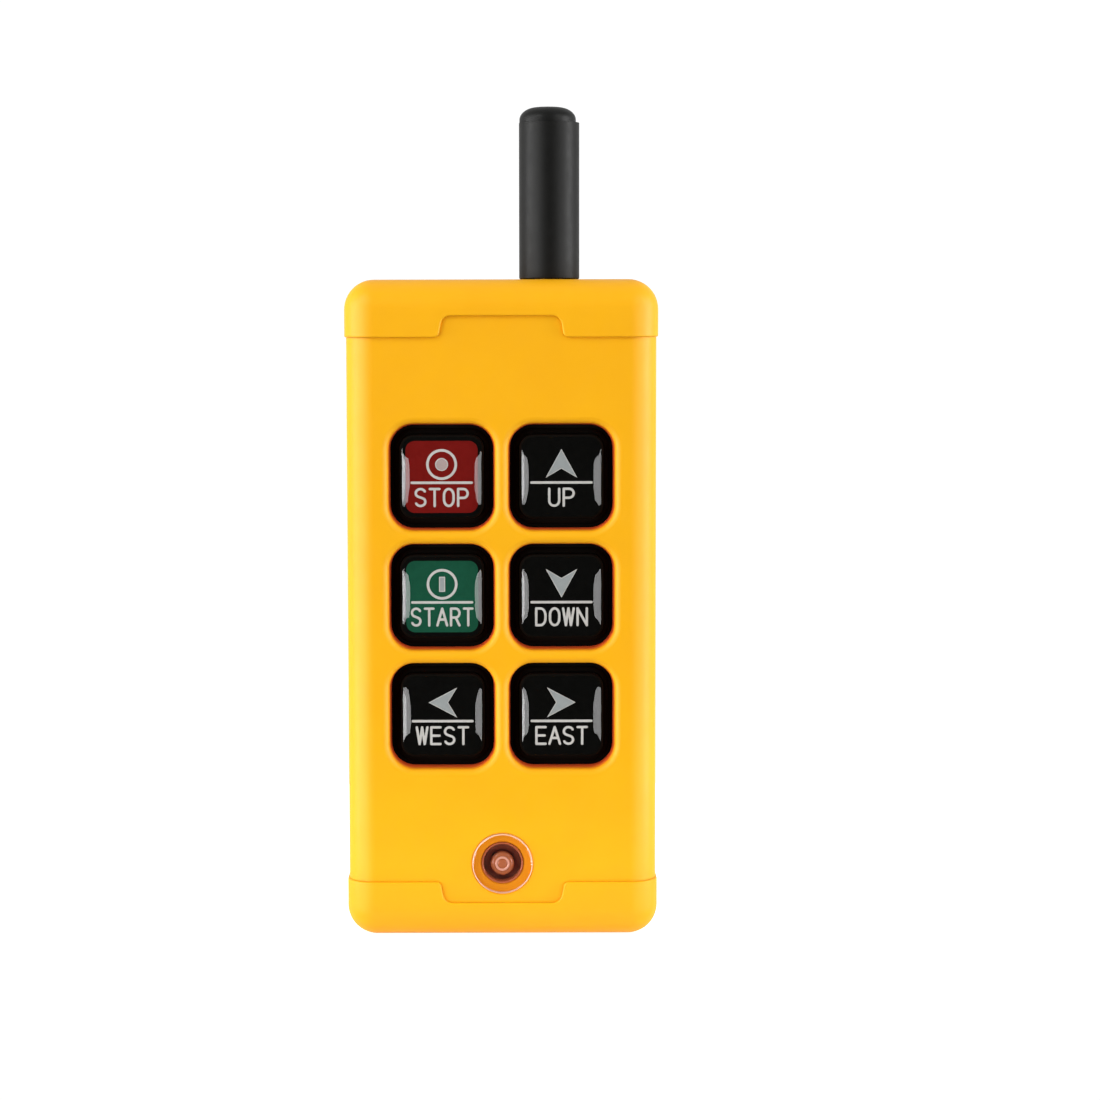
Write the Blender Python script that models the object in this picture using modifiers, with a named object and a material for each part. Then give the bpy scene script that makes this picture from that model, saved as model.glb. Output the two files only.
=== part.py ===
"""Hand-held radio pendant control station: six push buttons, a stub antenna and a signal lamp.

The transmitter stands on its bottom cap. X runs across the front, Y from front to back and Z up,
and the origin is the middle of the flat bottom face. All sizes are in metres.
"""

import math

import bmesh
import bpy
from mathutils import Matrix, Vector

MM = 0.001
Y, Z = 1, 2  # axis numbers, for edges that run along an axis

# Driving dimensions of the case.
CASE_W = 65.0 * MM  # over the end caps
CASE_D = 28.8 * MM
CASE_H = 137.0 * MM
EDGE_R = 6.2 * MM
PROUD = 0.35 * MM  # the caps stand this far out of the shells at the sides
PROUD_D = 0.75 * MM  # and this far at the front and the rear
CAP_H = 11.9 * MM  # end face to seam
CAP_WALL = 1.6 * MM
CAP_END = 3.0 * MM
WALL = 2.4 * MM
NECK_WALL = 1.8 * MM
GAP = 0.3 * MM  # between pieces that rest on each other
THIN_GAP = 0.15 * MM  # between small flat pieces

BODY_W = CASE_W - 2 * PROUD
BODY_D = CASE_D - 2 * PROUD_D
FRONT = -BODY_D / 2  # the shells' front face
REAR = BODY_D / 2
SEAM_LOW = CAP_H
SEAM_HIGH = CASE_H - CAP_H
NECK_W = CASE_W - 2 * (CAP_WALL + GAP)
NECK_D = CASE_D - 2 * (CAP_WALL + GAP)
NECK_LOW = CAP_END + GAP  # ends of the shells, inside the caps
NECK_HIGH = CASE_H - NECK_LOW
NECK_END = 2.0 * MM  # thickness of the shells' end walls
SEAT = 1.2 * MM  # width of the seal's seat in the shells' meeting faces
SEAT_DEPTH = 0.8 * MM  # its depth in each shell
SEAL_T = 0.9 * MM

# The notch in each cap's edge, filled by a tongue of the shells.
NOTCH_H = 4.4 * MM
NOTCH_MOUTH = 27.6 * MM
NOTCH_MOUTH_R = 1.1 * MM
NOTCH_TOP_R = 2.0 * MM
NOTCH_SLOPE = math.radians(80)  # of its sides

# The keys: two columns of three.
KEY_PITCH_X = 24.75 * MM
KEY_PITCH_Z = 24.85 * MM
KEY_MID_Z = 71.5 * MM
WELL_W = 21.6 * MM  # opening in the front shell
WELL_H = 21.9 * MM
WELL_R = 5.2 * MM
WELL_PAD = 1.6 * MM  # thicker wall round the wells
KEY_W = 17.4 * MM
KEY_R = 2.9 * MM
LABEL_W = 16.4 * MM
LABEL_R = 2.6 * MM
TRAVEL = 1.5 * MM
KEY_LAYOUT = {
    "stop": (-1, 1),
    "up": (1, 1),
    "start": (-1, 0),
    "down": (1, 0),
    "west": (-1, -1),
    "east": (1, -1),
}

# Depths behind the front face, from the dome's crown to the circuit board.
CROWN_DEPTH = 0.6 * MM
KEY_TOP_DEPTH = 2.0 * MM
PAD_DEPTH = WALL + 1.9 * MM
BOOT_DEPTH = PAD_DEPTH + GAP
BOOT_T = 1.2 * MM
KEY_BASE_DEPTH = 4.75 * MM
STEM_DEPTH = 5.25 * MM
PLUNGER_DEPTH = 5.5 * MM
SWITCH_DEPTH = 7.35 * MM
BOARD_DEPTH = 10.85 * MM
BOARD_T = 1.6 * MM

# Signal lamp.
LAMP_Z = 15.7 * MM
LAMP_HOLE_R = 4.45 * MM
LENS_R = 6.25 * MM
LENS_BARREL_R = 4.2 * MM
LENS_SEAT = 1.0 * MM  # depth of its seat in the front shell
LENS_PROUD = 0.7 * MM
LED_DROP = 0.45 * MM  # the lamp's leads let it sit a little below the lens's middle

# Screws.
CASE_SCREW_X = 22.5 * MM
CASE_SCREW_Z = (20.0 * MM, 117.0 * MM)
BOARD_SCREWS = ((17.0 * MM, 28.0 * MM), (-10.0 * MM, 114.0 * MM))
CAP_SCREW_X = 20.0 * MM
CAP_SCREW_Y = 5.2 * MM
SCREW_SINK_R = 3.2 * MM

# Antenna.
ANTENNA_X = 10.1 * MM
ANTENNA_R = 6.3 * MM
ANTENNA_TOP = 172.8 * MM
SLEEVE_TOP = 169.6 * MM
SLEEVE_BORE_R = 4.7 * MM
TIP_SHIFT = 0.3 * MM  # the plug sits against the left of the sleeve's bore
STUD_R = 3.0 * MM

# Battery bay in the rear shell, for two small round cells side by side.
CELL_R = 5.25 * MM
CELL_L = 44.5 * MM
CELL_NUB = 0.8 * MM
CELL_X = 5.6 * MM
BAY_W = 23.4 * MM
BAY_LOW = 24.0 * MM
BAY_WALL = 1.2 * MM
BAY_FLOOR = 0.3 * MM  # the bay floor's rear face
CONTACT_T = 0.4 * MM
SPRING_H = 5.0 * MM
CELL_STACK = CELL_L + SPRING_H + 2 * CONTACT_T + 3 * THIN_GAP
BAY_HIGH = BAY_LOW + CELL_STACK + 2 * GAP
CELL_Y = BAY_FLOOR + GAP + CELL_R
DOOR_W = 30.0 * MM
DOOR_LOW = 15.5 * MM
DOOR_HIGH = 84.0 * MM
DOOR_R = 3.0 * MM
DOOR_T = 1.65 * MM
DOOR_SCREWS = (19.5 * MM, 80.0 * MM)
LEDGE_BACK = REAR - DOOR_T - 0.2 * MM  # the face that the door rests on
LEDGE_FRONT = 9.9 * MM

ROUND = 5  # segments in a case corner
SMALL_ROUND = 3  # segments in a small corner
TURNED = 24  # sides of a large turned piece
SMALL_TURNED = 16

# Rotations that turn a piece's own +Z to face a way.
TO_FRONT = (math.radians(90), 0, 0)
TO_REAR = (math.radians(-90), 0, 0)
TO_FLOOR = (math.radians(180), 0, 0)
UPRIGHT = (0, 0, 0)

MATERIALS = {
    "yellow_plastic": ((0.95, 0.47, 0.01), 0.55, 0.0),
    "black_rubber": ((0.012, 0.012, 0.012), 0.7, 0.0),
    "antenna_black": ((0.03, 0.03, 0.028), 0.55, 0.0),
    "label_red": ((0.16, 0.008, 0.007), 0.12, 0.0),
    "label_green": ((0.008, 0.065, 0.033), 0.12, 0.0),
    "label_black": ((0.01, 0.01, 0.01), 0.12, 0.0),
    "clear_plastic": ((0.9, 0.88, 0.85), 0.08, 0.0),
    "black_plastic": ((0.02, 0.02, 0.02), 0.4, 0.0),
    "board_green": ((0.01, 0.11, 0.05), 0.4, 0.0),
    "steel": ((0.55, 0.55, 0.56), 0.3, 1.0),
    "brass": ((0.72, 0.5, 0.2), 0.3, 1.0),
    "cell_jacket": ((0.03, 0.06, 0.12), 0.35, 0.0),
    "seal_rubber": ((0.03, 0.03, 0.03), 0.8, 0.0),
}


# ---------------------------------------------------------------- scene and materials


def clear_scene():
    for obj in list(bpy.data.objects):
        bpy.data.objects.remove(obj)


def make_collection(name):
    collection = bpy.data.collections.new(name)
    bpy.context.scene.collection.children.link(collection)
    return collection


def make_material(name):
    colour, roughness, metallic = MATERIALS[name]
    material = bpy.data.materials.new(name)
    material.use_nodes = True
    shader = material.node_tree.nodes["Principled BSDF"]
    shader.inputs["Base Color"].default_value = (*colour, 1.0)
    shader.inputs["Roughness"].default_value = roughness
    shader.inputs["Metallic"].default_value = metallic
    return material


def add_object(name, data, location=(0, 0, 0), rotation=UPRIGHT):
    obj = bpy.data.objects.new(name, data)
    obj.location = location
    obj.rotation_euler = rotation
    PARTS.objects.link(obj)
    return obj


def as_part(obj, material):
    """Gives a finished piece its material and smooth, sharp-edged shading."""
    obj.data.materials.append(MADE_MATERIALS[material])
    if obj.type == "MESH":
        obj.data.shade_smooth()
        obj.data.set_sharp_from_angle(angle=math.radians(35))
    return obj


def as_tool(obj):
    """Marks a piece as one that only cuts or adds to another."""
    PARTS.objects.unlink(obj)
    TOOLS.objects.link(obj)
    obj.hide_render = True
    obj.display_type = "WIRE"
    return obj


def combine(obj, tool, operation):
    modifier = obj.modifiers.new(f"{operation.lower()} {tool.name}", "BOOLEAN")
    modifier.operation = operation
    modifier.object = tool


def cut(obj, *tools):
    for tool in tools:
        combine(obj, as_tool(tool), "DIFFERENCE")
    return obj


def join(obj, *tools):
    for tool in tools:
        combine(obj, as_tool(tool), "UNION")
    return obj


# ---------------------------------------------------------------- shapes


def finish_mesh(bm, name):
    mesh = bpy.data.meshes.new(name)
    bm.to_mesh(mesh)
    bm.free()
    return mesh


def box(name, low, high, radius=0.0, along=None, segments=SMALL_ROUND):
    """A box between two corners. Its edges along one axis are rounded, or all of them if along is None."""
    low, high = Vector(low), Vector(high)
    bm = bmesh.new()
    bmesh.ops.create_cube(bm, size=1.0, matrix=Matrix.Diagonal((*(high - low), 1.0)))
    if radius > 0:
        edges = [
            e
            for e in bm.edges
            if along is None or abs((e.verts[0].co - e.verts[1].co).normalized()[along]) > 0.9
        ]
        bmesh.ops.bevel(
            bm, geom=edges, offset=radius, segments=segments, profile=0.5, affect="EDGES"
        )
    return add_object(name, finish_mesh(bm, name), (low + high) / 2)


def cylinder(name, radius, start, length, way, sides=SMALL_TURNED):
    """A round bar from a point, running a length along its own +Z, which faces the given way."""
    bm = bmesh.new()
    bmesh.ops.create_cone(
        bm,
        cap_ends=True,
        segments=sides,
        radius1=radius,
        radius2=radius,
        depth=length,
        matrix=Matrix.Translation((0, 0, length / 2)),
    )
    return add_object(name, finish_mesh(bm, name), start, way)


def turned(name, profile, location, way, sides=SMALL_TURNED):
    """A turned piece from (radius, height) points, running down its outer side, about its own Z."""
    mesh = bpy.data.meshes.new(name)
    mesh.from_pydata(
        [(radius, 0, height) for radius, height in profile],
        [(i, i + 1) for i in range(len(profile) - 1)],
        [],
    )
    obj = add_object(name, mesh, location, way)
    screw = obj.modifiers.new("turn", "SCREW")
    screw.steps = screw.render_steps = sides
    screw.use_merge_vertices = True
    screw.merge_threshold = 0.00001
    return obj


def arc(centre, radius, start, end, steps):
    """Points on an arc, with angles in degrees."""
    for i in range(steps + 1):
        angle = math.radians(start + (end - start) * i / steps)
        yield (centre[0] + radius * math.cos(angle), centre[1] + radius * math.sin(angle))


def outline_plate(name, outline, thickness, location, way):
    """A flat piece from a closed outline in its own XY plane, centred on that plane."""
    curve = bpy.data.curves.new(name, "CURVE")
    curve.dimensions = "2D"
    curve.fill_mode = "BOTH"
    curve.extrude = thickness / 2
    spline = curve.splines.new("POLY")
    spline.points.add(len(outline) - 1)
    for point, (x, y) in zip(spline.points, outline):
        point.co = (x, y, 0, 1)
    spline.use_cyclic_u = True
    return curve_to_mesh(add_object(name, curve, location, way))


def curve_to_mesh(obj):
    """The same piece as a welded mesh, which a Boolean takes."""
    bpy.context.view_layer.update()
    graph = bpy.context.evaluated_depsgraph_get()
    mesh = bpy.data.meshes.new_from_object(obj.evaluated_get(graph))
    bm = bmesh.new()
    bm.from_mesh(mesh)
    bmesh.ops.remove_doubles(bm, verts=bm.verts, dist=0.000001)
    bmesh.ops.recalc_face_normals(bm, faces=bm.faces)
    bm.to_mesh(mesh)
    bm.free()
    name, matrix = obj.name, obj.matrix_world.copy()
    bpy.data.objects.remove(obj)
    made = add_object(name, mesh)
    made.matrix_world = matrix
    return made


def wire(name, points, radius, resolution):
    """A round wire through the points."""
    curve = bpy.data.curves.new(name, "CURVE")
    curve.dimensions = "3D"
    curve.bevel_depth = radius
    curve.bevel_resolution = resolution
    curve.use_fill_caps = True
    spline = curve.splines.new("POLY")
    spline.points.add(len(points) - 1)
    for point, place in zip(spline.points, points):
        point.co = (*place, 1)
    return add_object(name, curve)


def smooth_route(knots, per_span):
    """Points on a Catmull-Rom curve through the knots."""
    knots = [Vector(k) for k in knots]
    ends = [2 * knots[0] - knots[1], *knots, 2 * knots[-1] - knots[-2]]
    points = []
    for a, b, c, d in zip(ends, ends[1:], ends[2:], ends[3:]):
        for i in range(per_span):
            t = i / per_span
            points.append(
                0.5
                * (
                    2 * b
                    + (c - a) * t
                    + (2 * a - 5 * b + 4 * c - d) * t * t
                    + (3 * b - 3 * c + d - a) * t**3
                )
            )
    return points + [knots[-1]]


def helix(centre, radius_low, radius_high, low, high, turns, per_turn=10):
    """Points of a coil that climbs from low to high."""
    count = round(turns * per_turn)
    points = []
    for i in range(count + 1):
        share = i / count
        radius = radius_low + (radius_high - radius_low) * share
        angle = 2 * math.pi * turns * share
        points.append(
            (
                centre[0] + radius * math.cos(angle),
                centre[1] + radius * math.sin(angle),
                low + (high - low) * share,
            )
        )
    return points


# ---------------------------------------------------------------- case


def notch_outline(clearance):
    """The notch in X and height from the seam: a round corner, a steep side and a round corner, mirrored.

    A clearance makes a tongue that fits the notch.
    """
    slope = math.degrees(NOTCH_SLOPE)
    rounds = NOTCH_MOUTH_R + NOTCH_TOP_R
    side = (NOTCH_H - rounds * (1 - math.cos(NOTCH_SLOPE))) / math.sin(NOTCH_SLOPE)
    mouth = NOTCH_MOUTH / 2
    top = mouth - rounds * math.sin(NOTCH_SLOPE) - side * math.cos(NOTCH_SLOPE)
    lower = arc((mouth, NOTCH_MOUTH_R), NOTCH_MOUTH_R + clearance, 270, 270 - slope, SMALL_ROUND)
    upper = arc((top, NOTCH_H - NOTCH_TOP_R), NOTCH_TOP_R - clearance, 90 - slope, 90, SMALL_ROUND)
    foot = -2.0 * MM
    right = [(mouth, foot), *lower, *upper]
    return right + [(-x, z) for x, z in reversed(right)]


def notch_tool(name, at_top, clearance):
    """A prism with the notch's outline on the top or the bottom seam, deeper than the case."""
    sign = 1 if at_top else -1
    seam = SEAM_HIGH if at_top else SEAM_LOW
    outline = [(x, sign * z) for x, z in notch_outline(clearance)]
    return outline_plate(name, outline, 3 * CASE_D, (0, 0, seam), TO_FRONT)


def case_prism(name, width, depth, low, high, radius):
    """An upright prism on the case's axis, with rounded upright edges."""
    return box(
        name, (-width / 2, -depth / 2, low), (width / 2, depth / 2, high), radius, Z, ROUND
    )


def cap_space(name, at_top):
    """The space round a neck that a cap fills, with the notch's tongue left out of it."""
    far = CASE_W
    low = SEAM_HIGH - THIN_GAP if at_top else -far
    high = CASE_H + far if at_top else SEAM_LOW + THIN_GAP
    return cut(
        box(name, (-far, -far, low), (far, far, high)),
        case_prism(f"{name} neck", NECK_W, NECK_D, NECK_LOW, NECK_HIGH, EDGE_R - CAP_WALL),
        notch_tool(f"{name} tongue", at_top, THIN_GAP),
    )


def shell_blank(name, sign):
    """One half of the case body. sign is -1 for the front half and 1 for the rear half."""
    shell = case_prism(name, BODY_W, BODY_D, 0, CASE_H, EDGE_R)
    inside_w = NECK_W - 2 * NECK_WALL
    inside_d, neck_in_d = BODY_D - 2 * WALL, NECK_D - 2 * NECK_WALL
    neck_low, neck_high = NECK_LOW + NECK_END, NECK_HIGH - NECK_END
    neck_in_r = EDGE_R - CAP_WALL - NECK_WALL
    half_w = inside_w / 2 + SEAT
    low_y, high_y = sorted((sign * THIN_GAP / 2, -sign * CASE_D))
    return cut(
        shell,
        cap_space(f"{name} top space", True),
        cap_space(f"{name} bottom space", False),
        case_prism(
            f"{name} inside", inside_w, inside_d, SEAM_LOW + WALL, SEAM_HIGH - WALL, EDGE_R - WALL
        ),
        case_prism(f"{name} neck inside", inside_w, neck_in_d, neck_low, neck_high, neck_in_r),
        box(
            f"{name} seal seat",
            (-half_w, -SEAT_DEPTH, neck_low - SEAT),
            (half_w, SEAT_DEPTH, neck_high + SEAT),
            EDGE_R - WALL,
            Y,
        ),
        box(f"{name} other half", (-CASE_W, low_y, -CASE_D), (CASE_W, high_y, CASE_H + CASE_D)),
    )


def case_screw_places():
    for i, (x, z) in enumerate(
        (x, z) for z in CASE_SCREW_Z for x in (-CASE_SCREW_X, CASE_SCREW_X)
    ):
        yield i + 1, x, z


def front_shell():
    shell = shell_blank("front_shell", -1)
    inside = FRONT + WALL
    pad_w = KEY_PITCH_X + WELL_W + 2 * WELL_PAD
    pad_h = 2 * KEY_PITCH_Z + WELL_H + 2 * WELL_PAD
    join(
        shell,
        box(
            "well pad",
            (-pad_w / 2, inside - 0.4 * MM, KEY_MID_Z - pad_h / 2),
            (pad_w / 2, FRONT + PAD_DEPTH, KEY_MID_Z + pad_h / 2),
            WELL_R,
            Y,
        ),
    )
    for name, (x, z) in key_places():
        cut(
            shell,
            box(
                f"well {name}",
                (x - WELL_W / 2, FRONT - 1 * MM, z - WELL_H / 2),
                (x + WELL_W / 2, FRONT + PAD_DEPTH + 1 * MM, z + WELL_H / 2),
                WELL_R,
                Y,
                4,
            ),
        )
    for i, x, z in case_screw_places():
        start = inside - 0.5 * MM
        join(shell, cylinder(f"front boss {i}", 3.25 * MM, (x, start, z), -0.5 * MM - start, TO_REAR))
        cut(shell, cylinder(f"front pilot {i}", 1.5 * MM, (x, -9 * MM, z), 9 * MM, TO_REAR, 12))
    for i, (x, z) in enumerate(BOARD_SCREWS):
        start = inside - 0.5 * MM
        length = FRONT + BOARD_DEPTH - GAP - start
        join(shell, cylinder(f"board post {i}", 2.5 * MM, (x, start, z), length, TO_REAR, 12))
        cut(shell, cylinder(f"board pilot {i}", 1.0 * MM, (x, -8.5 * MM, z), 9 * MM, TO_REAR, 8))
    outside = (0, FRONT - 1 * MM, LAMP_Z)
    cut(
        shell,
        cylinder("lens seat", LENS_R + THIN_GAP, outside, LENS_SEAT + 1 * MM, TO_REAR, TURNED),
        cylinder("lamp hole", LAMP_HOLE_R, outside, WALL + 4 * MM, TO_REAR, TURNED),
        stud_hole("front stud hole"),
    )
    return as_part(shell, "yellow_plastic")


def stud_hole(name):
    """The hole for the antenna's stud in a wall at the top of the case."""
    return cylinder(name, STUD_R + GAP, (ANTENNA_X, 0, NECK_HIGH - 4 * MM), 9 * MM, UPRIGHT)


def rear_shell():
    shell = shell_blank("rear_shell", 1)
    inside = REAR - WALL
    join(
        shell,
        box(
            "door frame",
            (-DOOR_W / 2 - 2 * MM, LEDGE_FRONT, DOOR_LOW - 1 * MM),
            (DOOR_W / 2 + 2 * MM, inside + 0.5 * MM, DOOR_HIGH + 2 * MM),
        ),
        box(
            "bay box",
            (-BAY_W / 2 - BAY_WALL, BAY_FLOOR - BAY_WALL, BAY_LOW - BAY_WALL),
            (BAY_W / 2 + BAY_WALL, LEDGE_FRONT + 0.5 * MM, BAY_HIGH + BAY_WALL),
        ),
    )
    for i, z in enumerate(DOOR_SCREWS):
        start, length = 3.5 * MM, LEDGE_BACK - 4.0 * MM
        join(shell, cylinder(f"door boss {i}", 2.7 * MM, (0, start, z), length, TO_REAR))
        cut(shell, cylinder(f"door pilot {i}", 1.3 * MM, (0, 4.5 * MM, z), 12 * MM, TO_REAR, 12))
    cut(
        shell,
        box(
            "bay",
            (-BAY_W / 2, BAY_FLOOR, BAY_LOW),
            (BAY_W / 2, REAR + 2 * MM, BAY_HIGH),
        ),
        box(
            "door recess",
            (-DOOR_W / 2, LEDGE_BACK, DOOR_LOW),
            (DOOR_W / 2, REAR + 2 * MM, DOOR_HIGH),
            DOOR_R,
            Y,
        ),
    )
    for i, x, z in case_screw_places():
        start = 0.4 * MM
        join(
            shell,
            cylinder(f"rear boss {i}", 4.2 * MM, (x, start, z), inside + 0.5 * MM - start, TO_REAR),
        )
        cut(
            shell,
            cylinder(f"rear hole {i}", 1.7 * MM, (x, -1 * MM, z), 9 * MM, TO_REAR, 12),
            cylinder(f"rear sink {i}", SCREW_SINK_R, (x, 5.0 * MM, z), 12 * MM, TO_REAR),
        )
    for i, x, at_top in cap_screw_places():
        start = NECK_HIGH - 8 * MM if at_top else NECK_LOW + NECK_END - 0.5 * MM
        pilot = NECK_HIGH - 6.5 * MM if at_top else NECK_LOW - 1 * MM
        place = (x, CAP_SCREW_Y, start)
        join(shell, cylinder(f"cap boss {i}", 2.6 * MM, place, 6.5 * MM, UPRIGHT, 12))
        cut(
            shell,
            cylinder(f"cap pilot {i}", 1.3 * MM, (x, CAP_SCREW_Y, pilot), 7.5 * MM, UPRIGHT, 12),
        )
    cut(shell, stud_hole("rear stud hole"))
    return as_part(shell, "yellow_plastic")


def cap_screw_places():
    places = ((-CAP_SCREW_X, True), (-CAP_SCREW_X, False), (CAP_SCREW_X, False))
    for i, (x, at_top) in enumerate(places):
        yield i + 1, x, at_top


def end_cap(name, at_top):
    """A cap over one end of the shells, with a notch in its edge front and rear."""
    half_w, half_d = CASE_W / 2, CASE_D / 2
    cap = box(
        name, (-half_w, -half_d, 0), (half_w, half_d, CASE_H), EDGE_R, None, ROUND
    )
    far = 20 * MM
    open_z = (-far, SEAM_HIGH) if at_top else (SEAM_LOW, CASE_H + far)
    inner_z = (SEAM_HIGH - far, CASE_H - CAP_END) if at_top else (CAP_END, SEAM_LOW + far)
    in_w, in_d = half_w - CAP_WALL, half_d - CAP_WALL
    cut(
        cap,
        box(f"{name} cut off", (-far * 3, -far * 3, open_z[0]), (far * 3, far * 3, open_z[1])),
        box(
            f"{name} inside",
            (-in_w, -in_d, inner_z[0]),
            (in_w, in_d, inner_z[1]),
            EDGE_R - CAP_WALL,
            Z,
            ROUND,
        ),
        notch_tool(f"{name} notch", at_top, 0.0),
    )
    for i, x, on_top in cap_screw_places():
        if on_top != at_top:
            continue
        end = CASE_H if at_top else 0.0
        inward = -1 if at_top else 1
        way = TO_FLOOR if at_top else UPRIGHT
        outside = end - inward * 1 * MM
        cut(
            cap,
            cylinder(f"{name} hole {i}", 1.6 * MM, (x, CAP_SCREW_Y, outside), 6 * MM, way, 12),
            cylinder(
                f"{name} sink {i}", SCREW_SINK_R, (x, CAP_SCREW_Y, outside), 2.9 * MM, way
            ),
        )
    if at_top:
        cut(cap, stud_hole("cap stud hole"))
    return as_part(cap, "yellow_plastic")


def shell_seal():
    """The rubber seal in the seat between the two shells. It is open where the antenna's stud passes."""
    outer = SEAT - THIN_GAP
    half_w = NECK_W / 2 - NECK_WALL + outer
    half_d = SEAT_DEPTH - THIN_GAP
    low, high = NECK_LOW + NECK_END - outer, NECK_HIGH - NECK_END + outer
    corner = EDGE_R - WALL - THIN_GAP
    seal = box("shell_seal", (-half_w, -half_d, low), (half_w, half_d, high), corner, Y)
    stud_gap = STUD_R + 1 * MM
    cut(
        seal,
        box(
            "seal inside",
            (-half_w + SEAL_T, -2 * half_d, low + SEAL_T),
            (half_w - SEAL_T, 2 * half_d, high - SEAL_T),
            corner - SEAL_T,
            Y,
        ),
        box(
            "seal stud gap",
            (ANTENNA_X - stud_gap, -2 * half_d, high - 2 * SEAL_T),
            (ANTENNA_X + stud_gap, 2 * half_d, high + SEAL_T),
        ),
    )
    return as_part(seal, "seal_rubber")


def screw(name, head_r, head_h, shank_r, length, location, way):
    """A pan-head screw with a cross recess. Its own +Z points from the shank out through the head."""
    profile = [
        (0, head_h),
        (head_r * 0.7, head_h),
        (head_r, head_h * 0.55),
        (head_r, 0),
        (shank_r, 0),
        (shank_r, -length + shank_r),
        (shank_r * 0.25, -length),
        (0, -length),
    ]
    piece = turned(name, profile, location, way, 12)
    slot_l, slot_w, slot_d = head_r * 1.1, head_r * 0.26, head_h * 0.6
    turn = Matrix.Rotation(math.radians(7), 4, "Z")
    for i, (across, along) in enumerate(((slot_l, slot_w), (slot_w, slot_l))):
        low = (-across / 2, -along / 2, head_h - slot_d)
        slot = box(f"{name} slot {i}", low, (across / 2, along / 2, head_h + 1 * MM))
        bpy.context.view_layer.update()
        slot.matrix_world = piece.matrix_world @ turn @ slot.matrix_world
        cut(piece, slot)
    return as_part(piece, "steel")


def fasteners():
    for i, x, z in case_screw_places():
        screw(f"case_screw_{i}", 2.8 * MM, 2.2 * MM, 1.3 * MM, 12 * MM, (x, 5.2 * MM, z), TO_REAR)
    for i, (x, z) in enumerate(BOARD_SCREWS):
        place = (x, FRONT + BOARD_DEPTH + BOARD_T + THIN_GAP, z)
        screw(f"board_screw_{i + 1}", 2.0 * MM, 1.2 * MM, 0.8 * MM, 6 * MM, place, TO_REAR)
    for i, x, at_top in cap_screw_places():
        under = 1.9 * MM - THIN_GAP
        z, way = (CASE_H - under, UPRIGHT) if at_top else (under, TO_FLOOR)
        place = (x, CAP_SCREW_Y, z)
        screw(f"cap_screw_{i}", 2.7 * MM, 1.4 * MM, 1.1 * MM, 7.5 * MM, place, way)


# ---------------------------------------------------------------- battery bay


def battery_door():
    """The flush door over the battery bay, with a pressing rib inside and finger ribs outside."""
    half_w = DOOR_W / 2 - THIN_GAP
    low, high = DOOR_LOW + THIN_GAP, DOOR_HIGH - THIN_GAP
    door = box(
        "battery_door",
        (-half_w, LEDGE_BACK + 0.2 * MM, low),
        (half_w, REAR, high),
        DOOR_R - THIN_GAP,
        Y,
    )
    rib_half = BAY_W / 2 - 1.5 * MM
    join(
        door,
        box(
            "door pressing rib",
            (-rib_half, CELL_Y + CELL_R + 0.25 * MM, 34 * MM),
            (rib_half, LEDGE_BACK + 0.5 * MM, 66 * MM),
        ),
    )
    for i in range(4):
        z = 68 * MM - i * 2.6 * MM
        cut(
            door,
            box(
                f"door groove {i}",
                (-9 * MM, REAR - 0.6 * MM, z),
                (9 * MM, REAR + 1 * MM, z + 1.2 * MM),
            ),
        )
    for i, z in enumerate(DOOR_SCREWS):
        outside = (0, REAR + 1 * MM, z)
        cut(
            door,
            cylinder(f"door hole {i}", 1.7 * MM, outside, 4 * MM, TO_FRONT, 12),
            cylinder(f"door sink {i}", 2.9 * MM, outside, 2.0 * MM, TO_FRONT),
        )
        place = (0, REAR - 0.85 * MM, z)
        screw(f"door_screw_{i + 1}", 2.4 * MM, 0.75 * MM, 1.1 * MM, 6.5 * MM, place, TO_REAR)
    return as_part(door, "yellow_plastic")


def cell(name, x, upright):
    """A small round cell. Its positive end is up if it is upright."""
    profile = [
        (0, CELL_L),
        (1.8 * MM, CELL_L),
        (1.9 * MM, CELL_L - CELL_NUB),
        (4.6 * MM, CELL_L - CELL_NUB),
        (CELL_R, CELL_L - CELL_NUB - 0.5 * MM),
        (CELL_R, 0.5 * MM),
        (4.7 * MM, 0),
        (0, 0),
    ]
    low = BAY_LOW + GAP + CONTACT_T + THIN_GAP
    if upright:
        place, way = (x, CELL_Y, low + SPRING_H + THIN_GAP), UPRIGHT
    else:
        place, way = (x, CELL_Y, low + CELL_L), TO_FLOOR
    return as_part(turned(name, profile, place, way, TURNED), "cell_jacket")


def battery():
    cell("battery_cell_1", -CELL_X, True)
    cell("battery_cell_2", CELL_X, False)
    low_plate = BAY_LOW + GAP
    high_plate = BAY_HIGH - GAP - CONTACT_T
    half_y = CELL_R - 0.6 * MM
    for name, x0, x1, z in (
        ("contact_negative", -10.4 * MM, -0.8 * MM, low_plate),
        ("contact_positive", 0.8 * MM, 10.4 * MM, low_plate),
        ("contact_bridge", -10.4 * MM, 10.4 * MM, high_plate),
    ):
        plate = box(name, (x0, CELL_Y - half_y, z), (x1, CELL_Y + half_y, z + CONTACT_T), 1 * MM, Z, 2)
        as_part(plate, "steel")
    wire_r = 0.35 * MM
    spring_low = low_plate + CONTACT_T + THIN_GAP + wire_r
    spring_high = high_plate - THIN_GAP - wire_r
    reach = SPRING_H - 2 * wire_r - 0.1 * MM
    for name, x, start, end in (
        ("contact_spring_1", -CELL_X, spring_low, spring_low + reach),
        ("contact_spring_2", CELL_X, spring_high, spring_high - reach),
    ):
        points = helix((x, CELL_Y), 3.6 * MM, 2.2 * MM, start, end, 3.25)
        as_part(wire(name, points, wire_r, 1), "steel")


# ---------------------------------------------------------------- keys


def key_places():
    for name, (column, row) in KEY_LAYOUT.items():
        yield name, (column * KEY_PITCH_X / 2, KEY_MID_Z + row * KEY_PITCH_Z)


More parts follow.
